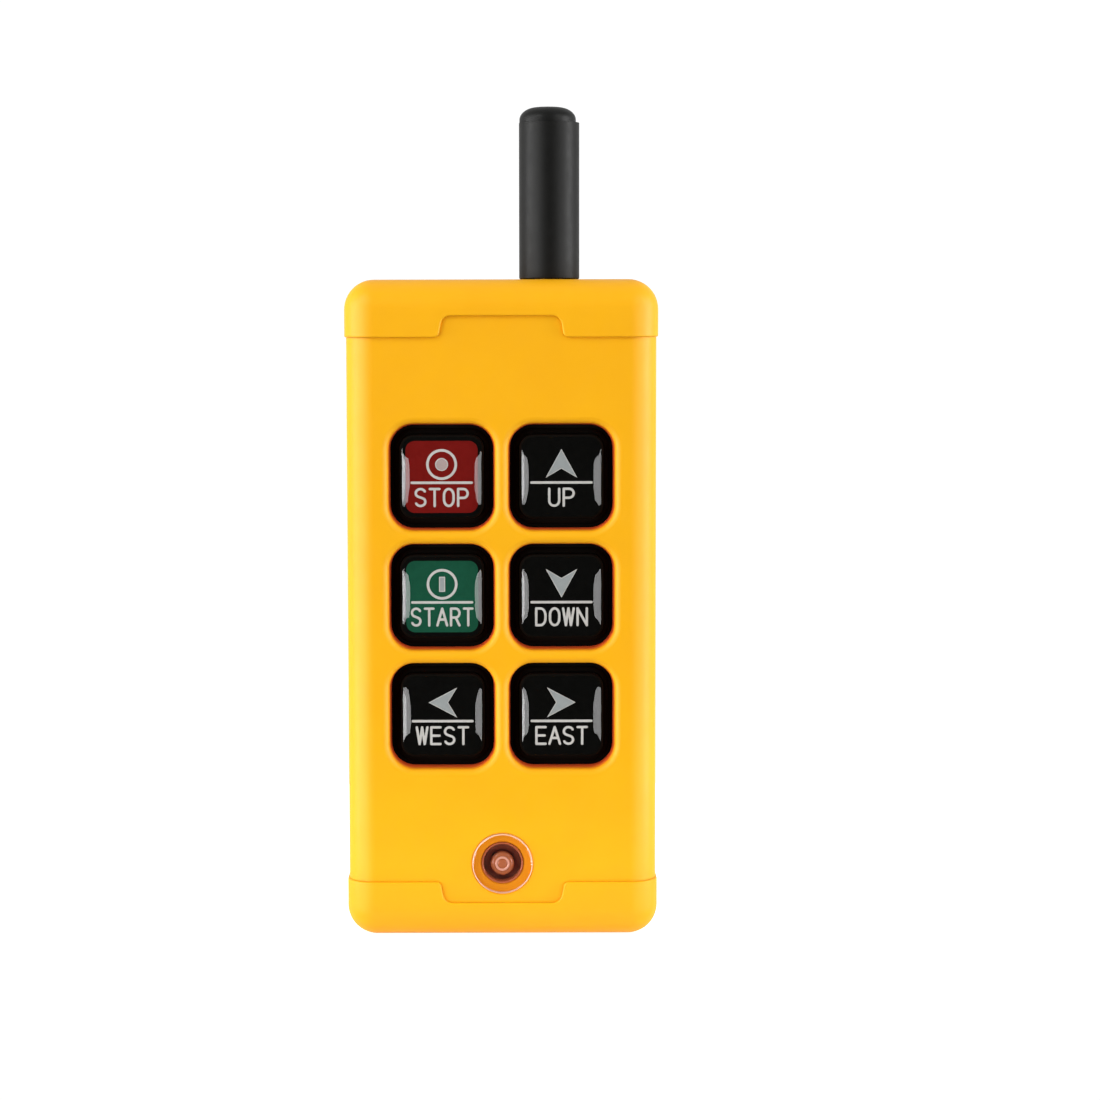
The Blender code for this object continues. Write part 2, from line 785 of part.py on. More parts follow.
def domed_label(name, x, z):
    """A printed label with a clear resin dome, stuck on its key."""
    half = LABEL_W / 2
    base = FRONT + KEY_TOP_DEPTH - THIN_GAP
    edge = base - 0.35 * MM
    label = box(name, (x - half, edge, z - half), (x + half, base, z + half), LABEL_R, Y)
    bm = bmesh.new()
    bm.from_mesh(label.data)
    top = [f for f in bm.faces if f.normal.y < -0.9]
    rise = edge - (FRONT + CROWN_DEPTH)
    for scale, share in ((0.87, 0.55), (0.75, 0.3), (0.5, 0.15)):
        top = bmesh.ops.extrude_discrete_faces(bm, faces=top)["faces"]
        bmesh.ops.scale(bm, vec=(scale, 1, scale), verts=top[0].verts)
        bmesh.ops.translate(bm, vec=(0, -rise * share, 0), verts=top[0].verts)
    bm.to_mesh(label.data)
    bm.free()
    return label


def keys():
    for name, (x, z) in key_places():
        half = KEY_W / 2
        key = box(
            f"key_{name}",
            (x - half, FRONT + KEY_TOP_DEPTH, z - half),
            (x + half, FRONT + KEY_BASE_DEPTH, z + half),
            KEY_R,
            Y,
        )
        stem_start = FRONT + KEY_BASE_DEPTH - 0.3 * MM
        stem_length = STEM_DEPTH - KEY_BASE_DEPTH + 0.3 * MM
        join(
            key,
            cylinder(f"{name} stem", 3.2 * MM, (x, stem_start, z), stem_length, TO_REAR, 12),
        )
        as_part(key, "black_rubber")
        print_colour = {"stop": "label_red", "start": "label_green"}.get(name, "label_black")
        as_part(domed_label(f"label_{name}", x, z), print_colour)
        push_switch(name, x, z)


def push_switch(name, x, z):
    """A square push switch on the board, and its round plunger."""
    half = 6.0 * MM
    front, back = FRONT + SWITCH_DEPTH, FRONT + BOARD_DEPTH - THIN_GAP
    body = box(f"switch_{name}", (x - half, front, z - half), (x + half, back, z + half))
    cut(
        body,
        cylinder(
            f"{name} bore",
            3.6 * MM,
            (x, front - 1 * MM, z),
            back - front + 0.7 * MM,
            TO_REAR,
        ),
    )
    as_part(body, "black_plastic")
    start = FRONT + PLUNGER_DEPTH
    length = back - start - TRAVEL - 0.5 * MM
    plunger = cylinder(f"plunger_{name}", 3.35 * MM, (x, start, z), length, TO_REAR)
    as_part(plunger, "black_plastic")


def keypad_boot():
    """The rubber sheet behind the wells: a tray whose rim stands on the board, with a hole for each key."""
    margin = 2.4 * MM
    half_w = (KEY_PITCH_X + WELL_W) / 2 + margin
    half_h = (2 * KEY_PITCH_Z + WELL_H) / 2 + margin
    front, back = FRONT + BOOT_DEPTH, FRONT + BOARD_DEPTH - THIN_GAP
    rim = 1.5 * MM
    low, high = KEY_MID_Z - half_h, KEY_MID_Z + half_h
    boot = box("keypad_boot", (-half_w, front, low), (half_w, back, high), 4 * MM, Y)
    cut(
        boot,
        box(
            "boot inside",
            (-half_w + rim, front + BOOT_T, low + rim),
            (half_w - rim, back + 1 * MM, high - rim),
            2.5 * MM,
            Y,
        ),
    )
    half = KEY_W / 2 + GAP
    for name, (x, z) in key_places():
        cut(
            boot,
            box(
                f"boot hole {name}",
                (x - half, front - 1 * MM, z - half),
                (x + half, front + BOOT_T + 0.5 * MM, z + half),
                KEY_R + GAP,
                Y,
            ),
        )
    return as_part(boot, "black_rubber")


# ---------------------------------------------------------------- electronics and lamp


def main_board():
    front = FRONT + BOARD_DEPTH
    board = box(
        "main_board",
        (-27 * MM, front, 8 * MM),
        (27 * MM, front + BOARD_T, 124 * MM),
        2 * MM,
        Y,
        2,
    )
    for i, x, z in case_screw_places():
        start = (x, front - 1 * MM, z)
        cut(board, cylinder(f"board clearance {i}", 3.8 * MM, start, 4 * MM, TO_REAR))
    for i, (x, z) in enumerate(BOARD_SCREWS):
        start = (x, front - 1 * MM, z)
        cut(board, cylinder(f"board hole {i}", 1.1 * MM, start, 4 * MM, TO_REAR, 8))
    as_part(board, "board_green")
    back = front + BOARD_T + THIN_GAP
    can = box("radio_module", (-10 * MM, back, 90 * MM), (10 * MM, back + 2.6 * MM, 104 * MM), 0.6 * MM)
    as_part(can, "steel")
    chip_low, chip_high = (-24 * MM, back, 94 * MM), (-14 * MM, back + 1.4 * MM, 101 * MM)
    as_part(box("controller_chip", chip_low, chip_high), "black_plastic")


def signal_lamp():
    base = (0, FRONT + BOARD_DEPTH - THIN_GAP, LAMP_Z - LED_DROP)
    dome = [(r, 6.1 * MM + h) for r, h in arc((0, 0), 2.5 * MM, 90, 0, 5)]
    profile = [*dome, (2.5 * MM, 1 * MM), (2.9 * MM, 1 * MM), (2.9 * MM, 0), (0, 0)]
    as_part(turned("signal_led", profile, base, TO_FRONT), "clear_plastic")
    lens_top = LENS_PROUD
    flange_back = THIN_GAP - LENS_SEAT
    barrel = -3.4 * MM
    profile = [
        (0, lens_top),
        (LENS_R - 0.7 * MM, lens_top),
        (LENS_R - 0.2 * MM, lens_top - 0.15 * MM),
        (LENS_R, lens_top - 0.45 * MM),
        (LENS_R, flange_back),
        (LENS_BARREL_R, flange_back),
        (LENS_BARREL_R, barrel),
        (3.4 * MM, barrel),
        (3.4 * MM, flange_back),
        (0, flange_back),
    ]
    lens = turned("lamp_lens", profile, (0, FRONT, LAMP_Z), TO_FRONT, TURNED)
    as_part(lens, "clear_plastic")


# ---------------------------------------------------------------- antenna


def antenna():
    at = (ANTENNA_X, 0, 0)
    foot = CASE_H + THIN_GAP
    sleeve = [
        (SLEEVE_BORE_R, SLEEVE_TOP),
        (ANTENNA_R - 0.4 * MM, SLEEVE_TOP),
        (ANTENNA_R, SLEEVE_TOP - 0.4 * MM),
        (ANTENNA_R, foot),
        (SLEEVE_BORE_R, foot),
        (SLEEVE_BORE_R, SLEEVE_TOP),
    ]
    as_part(turned("antenna_sleeve", sleeve, at, UPRIGHT, TURNED), "antenna_black")
    tip_r, tip_round, plug_r = 5.9 * MM, 2.6 * MM, 4.25 * MM
    crown = arc((tip_r - tip_round, ANTENNA_TOP - tip_round), tip_round, 90, 0, 4)
    tip = [
        (0, ANTENNA_TOP),
        *crown,
        (tip_r, SLEEVE_TOP + THIN_GAP),
        (plug_r, SLEEVE_TOP + THIN_GAP),
        (plug_r, SLEEVE_TOP - 5 * MM),
        (0, SLEEVE_TOP - 5 * MM),
    ]
    tip_at = (ANTENNA_X - TIP_SHIFT, 0, 0)
    as_part(turned("antenna_tip", tip, tip_at, UPRIGHT, TURNED), "antenna_black")
    stud_low, flange_low, flange_high = 126.0 * MM, foot + 0.6 * MM, foot + 4 * MM
    stud = [
        (0, flange_high),
        (4.3 * MM, flange_high),
        (4.3 * MM, flange_low),
        (STUD_R, flange_low),
        (STUD_R, stud_low + 0.5 * MM),
        (STUD_R - 0.5 * MM, stud_low),
        (0, stud_low),
    ]
    as_part(turned("antenna_stud", stud, at, UPRIGHT), "brass")
    nut_high = NECK_HIGH - NECK_END - GAP
    nut = cylinder("antenna_nut", 5.2 * MM, (ANTENNA_X, 0, nut_high - 2.6 * MM), 2.6 * MM, UPRIGHT, 6)
    cut(
        nut,
        cylinder(
            "nut bore", STUD_R + THIN_GAP, (ANTENNA_X, 0, nut_high - 4 * MM), 6 * MM, UPRIGHT
        ),
    )
    as_part(nut, "brass")
    coil_low = flange_high + 0.8 * MM
    coil = helix((ANTENNA_X, 0), 2.9 * MM, 2.9 * MM, coil_low, SLEEVE_TOP - 6 * MM, 6, 8)
    as_part(wire("antenna_coil", coil, 0.45 * MM, 1), "brass")
    back = FRONT + BOARD_DEPTH + BOARD_T
    route = (
        (ANTENNA_X, 0, stud_low - 1.2 * MM),
        (ANTENNA_X, 0.6 * MM, stud_low - 4 * MM),
        (ANTENNA_X - 1 * MM, 2.4 * MM, stud_low - 10 * MM),
        (5 * MM, back + 2.2 * MM, 111 * MM),
        (4 * MM, back + 1.5 * MM, 105.5 * MM),
    )
    as_part(wire("antenna_lead", smooth_route(route, 5), 0.8 * MM, 2), "black_plastic")


clear_scene()
PARTS = make_collection("pendant_control_station")
TOOLS = make_collection("cutters")
MADE_MATERIALS = {name: make_material(name) for name in MATERIALS}

front_shell()
rear_shell()
end_cap("top_cap", True)
end_cap("bottom_cap", False)
shell_seal()
fasteners()
battery_door()
battery()
keypad_boot()
keys()
main_board()
signal_lamp()
antenna()
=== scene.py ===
import math

import bmesh
import bpy
from mathutils import Matrix, Vector


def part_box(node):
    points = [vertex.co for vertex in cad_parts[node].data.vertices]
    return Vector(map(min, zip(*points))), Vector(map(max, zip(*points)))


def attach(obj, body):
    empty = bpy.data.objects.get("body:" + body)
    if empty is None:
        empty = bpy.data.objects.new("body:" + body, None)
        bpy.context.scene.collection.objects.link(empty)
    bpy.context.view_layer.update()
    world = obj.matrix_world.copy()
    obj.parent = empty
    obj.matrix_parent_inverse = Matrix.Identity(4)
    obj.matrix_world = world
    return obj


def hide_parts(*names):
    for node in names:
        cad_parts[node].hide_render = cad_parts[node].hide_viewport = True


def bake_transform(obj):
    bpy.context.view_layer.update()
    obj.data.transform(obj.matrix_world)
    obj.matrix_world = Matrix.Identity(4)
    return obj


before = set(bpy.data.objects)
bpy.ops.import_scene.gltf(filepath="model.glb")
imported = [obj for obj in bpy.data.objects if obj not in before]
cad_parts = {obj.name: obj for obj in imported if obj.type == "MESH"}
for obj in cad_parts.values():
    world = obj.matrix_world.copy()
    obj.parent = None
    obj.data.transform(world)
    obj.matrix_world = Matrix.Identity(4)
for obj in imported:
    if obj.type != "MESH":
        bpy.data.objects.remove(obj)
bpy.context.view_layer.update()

MM = 0.001

# ---------------- places, from the frame


def middle_of(node):
    """The middle of a CAD node's box."""
    return sum(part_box(node), Vector()) / 2


BODY_LOW, BODY_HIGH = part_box("front_shell")
CAP_LOW, CAP_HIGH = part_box("top_cap")
FRONT = BODY_LOW.y
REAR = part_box("rear_shell")[1].y
HALF_W = BODY_HIGH.x
CAP_HALF_W = CAP_HIGH.x
CAP_HALF_D = CAP_HIGH.y
CASE_H = CAP_HIGH.z
SEAM_HIGH = CAP_LOW.z
SEAM_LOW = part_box("bottom_cap")[1].z
NECK_LOW, NECK_HIGH = BODY_LOW.z, BODY_HIGH.z
KEYS = ("stop", "up", "start", "down", "west", "east")
KEY_MIDDLE = {name: middle_of(f"key_{name}") for name in KEYS}
LENS_LOW, LENS_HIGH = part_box("lamp_lens")
LENS_MIDDLE = middle_of("lamp_lens")
LENS_R = (LENS_HIGH.x - LENS_LOW.x) / 2
SLEEVE_LOW, SLEEVE_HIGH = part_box("antenna_sleeve")
ANTENNA_X = (SLEEVE_LOW.x + SLEEVE_HIGH.x) / 2
DOOR_LOW, DOOR_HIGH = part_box("battery_door")
DOOR_HALF_W = (DOOR_HIGH.x - DOOR_LOW.x) / 2
DOOR_HALF_H = (DOOR_HIGH.z - DOOR_LOW.z) / 2
DOOR_Z = (DOOR_LOW.z + DOOR_HIGH.z) / 2

# ---------------- sizes that the frame doesn't give

EDGE_R = 6.2 * MM  # of the caps' corners
PROUD = CAP_HALF_W - HALF_W  # how far the caps stand out of the shells
GAP = 0.15 * MM  # between parts that fit into each other
SEAM_GAP = 0.04 * MM  # between a cap's edge and the shells
WALL = 2.4 * MM
CAP_WALL = 1.6 * MM
CAP_END = 3.0 * MM
NECK_WALL = 1.8 * MM
NECK_END = 2.0 * MM
NECK_HALF_W = CAP_HALF_W - CAP_WALL - 2 * GAP
NECK_HALF_D = CAP_HALF_D - CAP_WALL - 2 * GAP
LIP_R = 0.35 * MM  # rounding of the caps' rims
NOTCH_H = 4.4 * MM
NOTCH_HALF = 13.8 * MM
NOTCH_MOUTH_R = 1.1 * MM
NOTCH_TOP_R = 2.0 * MM
NOTCH_SLOPE = math.radians(80)
WELL_W = 22.0 * MM
WELL_H = 22.1 * MM
WELL_R = 5.2 * MM
WELL_DEPTH = 4.3 * MM
WELL_DRAFT = math.tan(math.radians(5))  # of the wells' walls
WELL_FILLET = 1.4 * MM
KEY_R = 2.9 * MM
DOME_R = 2.7 * MM
LAMP_HOLE_R = 4.35 * MM
SCREW_SINK_R = 3.2 * MM
RECESS_D = 1.85 * MM  # how far the door sits in the rear shell
STUD_HOLE_R = 3.3 * MM
OUTSIDE = 1 * MM  # how far a cutter reaches out of the surface it cuts
FAR = 60 * MM  # further than any side of the case


# ---------------- meshes


def new_object(name, mesh):
    obj = bpy.data.objects.new(name, mesh)
    bpy.context.scene.collection.objects.link(obj)
    return obj


def loft(name, rings, close_first=True, close_last=True):
    """A skin over rings of 3-D points that all hold the same count, with flat ends on request."""
    bm = bmesh.new()
    made = [[bm.verts.new(point) for point in ring] for ring in rings]
    for low, high in zip(made, made[1:]):
        for i in range(len(low)):
            j = (i + 1) % len(low)
            bm.faces.new((low[i], low[j], high[j], high[i]))
    if close_first:
        bm.faces.new(made[0])
    if close_last:
        bm.faces.new(made[-1])
    bmesh.ops.remove_doubles(bm, verts=bm.verts, dist=1e-7)
    bmesh.ops.recalc_face_normals(bm, faces=bm.faces)
    mesh = bpy.data.meshes.new(name)
    bm.to_mesh(mesh)
    bm.free()
    return new_object(name, mesh)


def rounded(half_u, half_v, radius, steps=12):
    """A rounded rectangle as (u, v) points, anticlockwise from +u."""
    points = []
    for quarter, (su, sv) in enumerate(((1, 1), (-1, 1), (-1, -1), (1, -1))):
        middle_u, middle_v = su * (half_u - radius), sv * (half_v - radius)
        for i in range(steps + 1):
            angle = math.radians(90 * (quarter + i / steps))
            points.append(
                (middle_u + radius * math.cos(angle), middle_v + radius * math.sin(angle))
            )
    return points


def facing(points, x, y, z):
    """(u, v) points as 3-D points on an upright plane that faces the front."""
    return [(x + u, y, z + v) for u, v in points]


def on_front(points, x, z, depth):
    """(u, v) points about a place on the front, a depth behind the front face."""
    return facing(points, x, FRONT + depth, z)


def on_level(points, z):
    return [(u, v, z) for u, v in points]


def stack(name, sizes, levels, x, z, steps=12, ends=True):
    """A skin over rounded rectangles. Each level says how far they have grown, and its y."""
    rings = []
    for grow, y in levels:
        outline = rounded(*[size + grow for size in sizes], steps)
        rings.append(facing(outline, x, y, z))
    return loft(name, rings, ends, ends)


def block(name, low, high, radius=0.0):
    """A box with its four upright edges rounded, seen along Y."""
    middle_x, middle_z = (low[0] + high[0]) / 2, (low[2] + high[2]) / 2
    half_u, half_v = (high[0] - low[0]) / 2, (high[2] - low[2]) / 2
    levels = (0, low[1]), (0, high[1])
    steps = 6 if radius else 1
    return stack(name, (half_u, half_v, radius), levels, middle_x, middle_z, steps)


def prism(name, half_w, half_d, radius, low, high):
    """A rounded upright prism on the case's axis."""
    outline = rounded(half_w, half_d, radius, 16)
    return loft(name, [on_level(outline, low), on_level(outline, high)])


def turned(name, profile, origin, axis="Z", sides=64):
    """A turned piece from (radius, height) points. Its axis is Z, -Y for FRONT or +Y for REAR."""
    rings = []
    for radius, height in profile:
        ring = []
        for i in range(sides):
            angle = 2 * math.pi * i / sides
            u, v = radius * math.cos(angle), radius * math.sin(angle)
            offset = {"Z": (u, v, height), "FRONT": (u, -height, v), "REAR": (u, height, v)}[axis]
            ring.append(Vector(origin) + Vector(offset))
        rings.append(ring)
    closed = profile[0][0] > 0 and profile[0] == profile[-1]
    return loft(name, rings, not closed and profile[0][0] > 0, not closed and profile[-1][0] > 0)


def arc(middle, radius, start, end, steps):
    """Points on an arc or, with a pair of radii, on an ellipse. Angles are in degrees."""
    across, along = radius if isinstance(radius, tuple) else (radius, radius)
    for i in range(steps + 1):
        angle = math.radians(start + (end - start) * i / steps)
        yield (middle[0] + across * math.cos(angle), middle[1] + along * math.sin(angle))


def post(name, radius, start, end, place, sides=32):
    """A round post or hole from front to back, at a place on the case."""
    return turned(name, [(radius, start), (radius, end)], (place.x, 0, place.z), "REAR", sides)


def mouth(radius, level, lip, angles=(0, 0.4, 0.8, 1.2, 1.48)):
    """A hole's rounded mouth, from its wall out past a surface at a level, as (radius, height)."""
    rim = [(radius + lip * (1 - math.cos(a)), level - lip * (1 - math.sin(a))) for a in angles]
    return [*rim, (radius + lip, level + OUTSIDE)]


def sunk_hole(hole_r, head_r, start, seat, rim):
    """The profile of a screw's hole and of the seat for its head, up to a rounded mouth."""
    return [(hole_r, start), (hole_r, seat), (head_r, seat), *rim]


def round_over(radius, steps, span=90):
    """A rounded edge from a side to a face: how far in and how far below the face each step is."""
    for step in range(steps + 1):
        angle = math.radians(span * step / steps)
        yield radius * (1 - math.cos(angle)), radius * (1 - math.sin(angle))


def settle(obj):
    """Replaces the mesh by what its modifiers make of it."""
    bpy.context.view_layer.update()
    graph = bpy.context.evaluated_depsgraph_get()
    mesh = bpy.data.meshes.new_from_object(obj.evaluated_get(graph))
    obj.modifiers.clear()
    obj.data = mesh
    return obj


def carve(obj, *tools, operation="DIFFERENCE"):
    """Cuts tools from a piece, or joins them to it, and removes them."""
    for tool in tools:
        modifier = obj.modifiers.new("carve", "BOOLEAN")
        modifier.operation = operation
        modifier.object = tool
    settle(obj)
    for tool in tools:
        bpy.data.objects.remove(tool)
    return obj


def weld(obj, *tools):
    return carve(obj, *tools, operation="UNION")


def dress(obj, material, body, angle=32, *, replaces=(), weighted=True):
    """Shades a finished piece, gives it its material and ties it to its body."""
    obj.data.materials.clear()
    obj.data.materials.append(material)
    obj.data.shade_smooth()
    obj.data.set_sharp_from_angle(angle=math.radians(angle))
    if weighted:
        modifier = obj.modifiers.new("shading", "WEIGHTED_NORMAL")
        modifier.keep_sharp = True
        modifier.weight = 90
    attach(obj, body)
    if replaces:
        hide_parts(*replaces)
    return obj


def paint_part(obj, material, chosen):
    """Gives a second material to the faces whose middles are chosen."""
    obj.data.materials.append(material)
    for face in obj.data.polygons:
        face.material_index = int(chosen(face.center))


# ---------------- materials

PATCH_SCALE = 90.0  # of the unevenness of colour, in features to the metre
POLISH_SCALE = 420.0
GRAIN_SCALE = 2600.0
STREAK_SCALE = 900.0
CASE_ROUGHNESS = 0.47
CASE_WEAR = 0.04
CASE_GRAIN_H = 0.011 * MM
CASE_GLOSS = {"IOR": 1.46, "Specular_IOR_Level": 0.4}


class Nodes:
    """A material or a world being made: its shader and short ways to add nodes to it."""

    def __init__(self, name, owners=bpy.data.materials, shader="Principled BSDF"):
        self.made = owners.new(name)
        self.made.use_nodes = True
        self.tree = self.made.node_tree
        self.shader = self.tree.nodes[shader]

    def set(self, **values):
        for name, value in values.items():
            self.shader.inputs[name.replace("_", " ")].default_value = value
        return self

    def add(self, kind, **inputs):
        node = self.tree.nodes.new(f"ShaderNode{kind}")
        for name, value in inputs.items():
            node.inputs[name.replace("_", " ")].default_value = value
        return node

    def link(self, output, target):
        self.tree.links.new(output, target)

    def noise(self, scale, detail=3.0, roughness=0.5):
        """Noise in the object's own metres."""
        place = self.add("TexCoord")
        noise = self.add("TexNoise", Scale=scale, Detail=detail, Roughness=roughness)
        self.link(place.outputs["Object"], noise.inputs["Vector"])
        return noise.outputs["Fac"]

    def depth(self, coordinate):
        """The Y of a texture coordinate."""
        place = self.add("TexCoord")
        split = self.add("SeparateXYZ")
        self.link(place.outputs[coordinate], split.inputs[0])
        return split.outputs["Y"]

    def spread(self, value, low, high, at=(0.3, 0.7)):
        """A value mapped from one range to another. Noise is mostly between 0.3 and 0.7."""
        node = self.add("MapRange", From_Min=at[0], From_Max=at[1], To_Min=low, To_Max=high)
        self.link(value, node.inputs["Value"])
        return node.outputs["Result"]

    def tint(self, value, low, high, at=(0.3, 0.7)):
        """A colour between two, by a value such as noise."""
        node = self.add("Mix")
        node.data_type = "RGBA"
        node.inputs[6].default_value = (*low, 1)
        node.inputs[7].default_value = (*high, 1)
        self.link(self.spread(value, 0, 1, at), node.inputs[0])
        self.link(node.outputs[2], self.shader.inputs["Base Color"])

    def polish(self, roughness, wear):
        """Roughness that is a little uneven, by as much as the wear either way."""
        patches = self.noise(POLISH_SCALE, 5.0, 0.65)
        uneven = self.spread(patches, roughness - wear, roughness + wear)
        self.link(uneven, self.shader.inputs["Roughness"])

    def bump(self, value, height):
        node = self.add("Bump", Strength=1.0, Distance=height)
        self.link(value, node.inputs["Height"])
        self.link(node.outputs["Normal"], self.shader.inputs["Normal"])


def moulded(name, low, high, roughness, grain=GRAIN_SCALE, height=0.012 * MM, wear=0.05, **values):
    """Moulded plastic or rubber: fine grain, a little unevenness of colour and of polish."""
    nodes = Nodes(name).set(**values)
    nodes.tint(nodes.noise(PATCH_SCALE, 4.0, 0.6), low, high)
    nodes.polish(roughness, wear)
    nodes.bump(nodes.noise(grain, 2.0, 0.6), height)
    return nodes.made


def well_painted_shade():
    """The case's plastic on the wells' walls, with painted shade: it turns from yellow to orange
    red with depth, standing in for the shade and the light bounced deep in the wells.
    """
    nodes = Nodes("well_painted_shade").set(**CASE_GLOSS)
    # painted shade: the deeper in the well, the more orange red
    depths = FRONT + 0.3 * WELL_FILLET, FRONT + 0.6 * WELL_DEPTH
    nodes.tint(nodes.depth("Object"), (0.94, 0.444, 0.001), (0.9, 0.11, 0.02), at=depths)
    nodes.polish(CASE_ROUGHNESS, CASE_WEAR)
    nodes.bump(nodes.noise(GRAIN_SCALE, 2.0, 0.6), CASE_GRAIN_H)
    return nodes.made


def metal(name, low, high, roughness):
    """Plated or turned metal with fine streaks and dulled patches."""
    nodes = Nodes(name).set(Metallic=1.0)
    nodes.tint(nodes.noise(350.0, 4.0), low, high)
    fine = nodes.noise(STREAK_SCALE, 4.0, 0.7)
    streaked = nodes.spread(fine, roughness * 0.7, roughness * 1.5)
    nodes.link(streaked, nodes.shader.inputs["Roughness"])
    nodes.bump(fine, 0.004 * MM)
    return nodes.made


def printed(name, colour, brighter):
    """Ink under the clear dome."""
    nodes = Nodes(name).set(Roughness=0.6, Specular_IOR_Level=0.0)
    nodes.tint(nodes.noise(700.0, 4.0, 0.6), colour, brighter)
    nodes.bump(nodes.noise(4000.0, 2.0), 0.002 * MM)
    return nodes.made


def clear(name, tint, roughness=0.03, spread=0.03):
    """Clear resin. It mirrors more where it is seen edge-on, and lets the rest of light through."""
    nodes = Nodes(name)
    tree = nodes.tree
    output = tree.nodes["Material Output"]
    tree.nodes.remove(nodes.shader)
    through = nodes.add("BsdfTransparent", Color=(*tint, 1))
    gloss = nodes.add("BsdfGlossy", Color=(1, 1, 1, 1))
    polish = nodes.spread(nodes.noise(500.0, 4.0, 0.6), roughness, roughness + spread)
    nodes.link(polish, gloss.inputs["Roughness"])
    edge_on = nodes.add("LayerWeight", Blend=0.5)
    steep = nodes.add("Math")
    steep.operation = "POWER"
    steep.inputs[1].default_value = 5.0
    nodes.link(edge_on.outputs["Facing"], steep.inputs[0])
    mirrored = nodes.spread(steep.outputs[0], 0.05, 1.0, at=(0, 1))
    mix = nodes.add("MixShader")
    nodes.link(mirrored, mix.inputs[0])
    nodes.link(through.outputs[0], mix.inputs[1])
    nodes.link(gloss.outputs[0], mix.inputs[2])
    nodes.link(mix.outputs[0], output.inputs["Surface"])
    return nodes.made


def make_materials():
    smooth = {"grain": 900.0, "height": 0.002 * MM}
    coat = {"Coat_Weight": 1.0, "Coat_Roughness": 0.15}
    return {
        "yellow": moulded(
            "yellow_plastic", (0.93, 0.432, 0.001), (0.95, 0.455, 0.001), CASE_ROUGHNESS,
            height=CASE_GRAIN_H, wear=CASE_WEAR, **CASE_GLOSS,
        ),
        # painted shade on the wells' mouths and walls
        "well": well_painted_shade(),
        "rubber": moulded(
            "black_rubber", (0.0025, 0.002, 0.001), (0.004, 0.003, 0.002), 0.75,
            grain=3200.0, height=0.008 * MM, wear=0.06, Specular_IOR_Level=0.08,
        ),
        "antenna": moulded(
            "antenna_black", (0.003, 0.003, 0.0025), (0.0045, 0.0045, 0.004), 0.47,
            grain=3500.0, Specular_IOR_Level=0.24,
        ),
        "black": moulded("black_plastic", (0.012, 0.012, 0.012), (0.02, 0.02, 0.02), 0.42),
        "seal": moulded("seal_rubber", (0.02, 0.02, 0.02), (0.03, 0.03, 0.03), 0.75),
        "board": moulded("board_green", (0.008, 0.09, 0.04), (0.012, 0.13, 0.06), 0.35),
        "jacket": moulded(
            "cell_jacket", (0.02, 0.045, 0.1), (0.03, 0.06, 0.13), 0.28,
            grain=1200.0, height=0.004 * MM,
        ),
        # the lamp's own pinkish epoxy, with painted bounce light: its copper tone stands in for
        # orange light in the hole
        "led": moulded(
            "led_epoxy_painted_bounce_light", (0.52, 0.205, 0.075), (0.6, 0.24, 0.095), 0.25, **smooth, **coat
        ),
        # painted highlight: a paler colour for the raised ring on the lamp's tip
        "led_ring_painted_highlight": moulded(
            "led_ring_painted_highlight", (0.92, 0.6, 0.44), (0.98, 0.68, 0.52), 0.2, **smooth, **coat
        ),
        # painted bounce light: copper for the orange light seen through the clear barrel
        "barrel": moulded("barrel_painted_bounce_light", (0.5, 0.17, 0.065), (0.58, 0.2, 0.08), 0.2, **smooth),
        # painted bounce light: brown for the orange light in the lamp's hole
        "holder": moulded("holder_painted_bounce_light", (0.4, 0.125, 0.06), (0.48, 0.15, 0.075), 0.5),
        # painted highlight: the pale colour of the lens's rim; it also lets only part of the light
        # through
        "lens_edge_painted_highlight": moulded(
            "lens_edge_painted_highlight", (0.95, 0.74, 0.62), (1.0, 0.82, 0.7), 0.3,
            grain=1500.0, height=0.01 * MM, Alpha=0.65,
        ),
        "steel": metal("steel", (0.5, 0.5, 0.51), (0.66, 0.66, 0.67), 0.27),
        "brass": metal("brass", (0.62, 0.42, 0.16), (0.78, 0.55, 0.24), 0.28),
        "film": printed("label_black_ink", (0.0015, 0.0015, 0.0012), (0.003, 0.003, 0.0025)),
        "red": printed("label_red_ink", (0.185, 0.0075, 0.0055), (0.21, 0.0095, 0.0075)),
        "green": printed("label_green_ink", (0.0095, 0.083, 0.045), (0.0115, 0.096, 0.052)),
        "white": printed("label_white_ink", (0.6, 0.59, 0.56), (0.67, 0.665, 0.64)),
        "grey": printed("label_grey_ink", (0.34, 0.37, 0.37), (0.38, 0.41, 0.41)),
        "rose": printed("label_rose_ink", (0.46, 0.36, 0.34), (0.52, 0.42, 0.4)),
        "dome": clear("dome_resin", (0.97, 0.97, 0.97)),
        "lens": clear("lens_plastic", (1.0, 0.93, 0.93), spread=0.04),
    }


# ---------------- caps


def notch_side(clearance=0.0):
    """The right side of a cap's notch, from its mouth to its top, as (x, height from the seam)."""
    rounds = NOTCH_MOUTH_R + NOTCH_TOP_R
    side = (NOTCH_H - rounds * (1 - math.cos(NOTCH_SLOPE))) / math.sin(NOTCH_SLOPE)
    top = NOTCH_HALF - rounds * math.sin(NOTCH_SLOPE) - side * math.cos(NOTCH_SLOPE)
    slope = math.degrees(NOTCH_SLOPE)
    lower = arc((NOTCH_HALF, NOTCH_MOUTH_R), NOTCH_MOUTH_R + clearance, 270, 270 - slope, 6)
    upper = arc((top, NOTCH_H - NOTCH_TOP_R), NOTCH_TOP_R - clearance, 90 - slope, 90, 6)
    return [*lower, *upper]


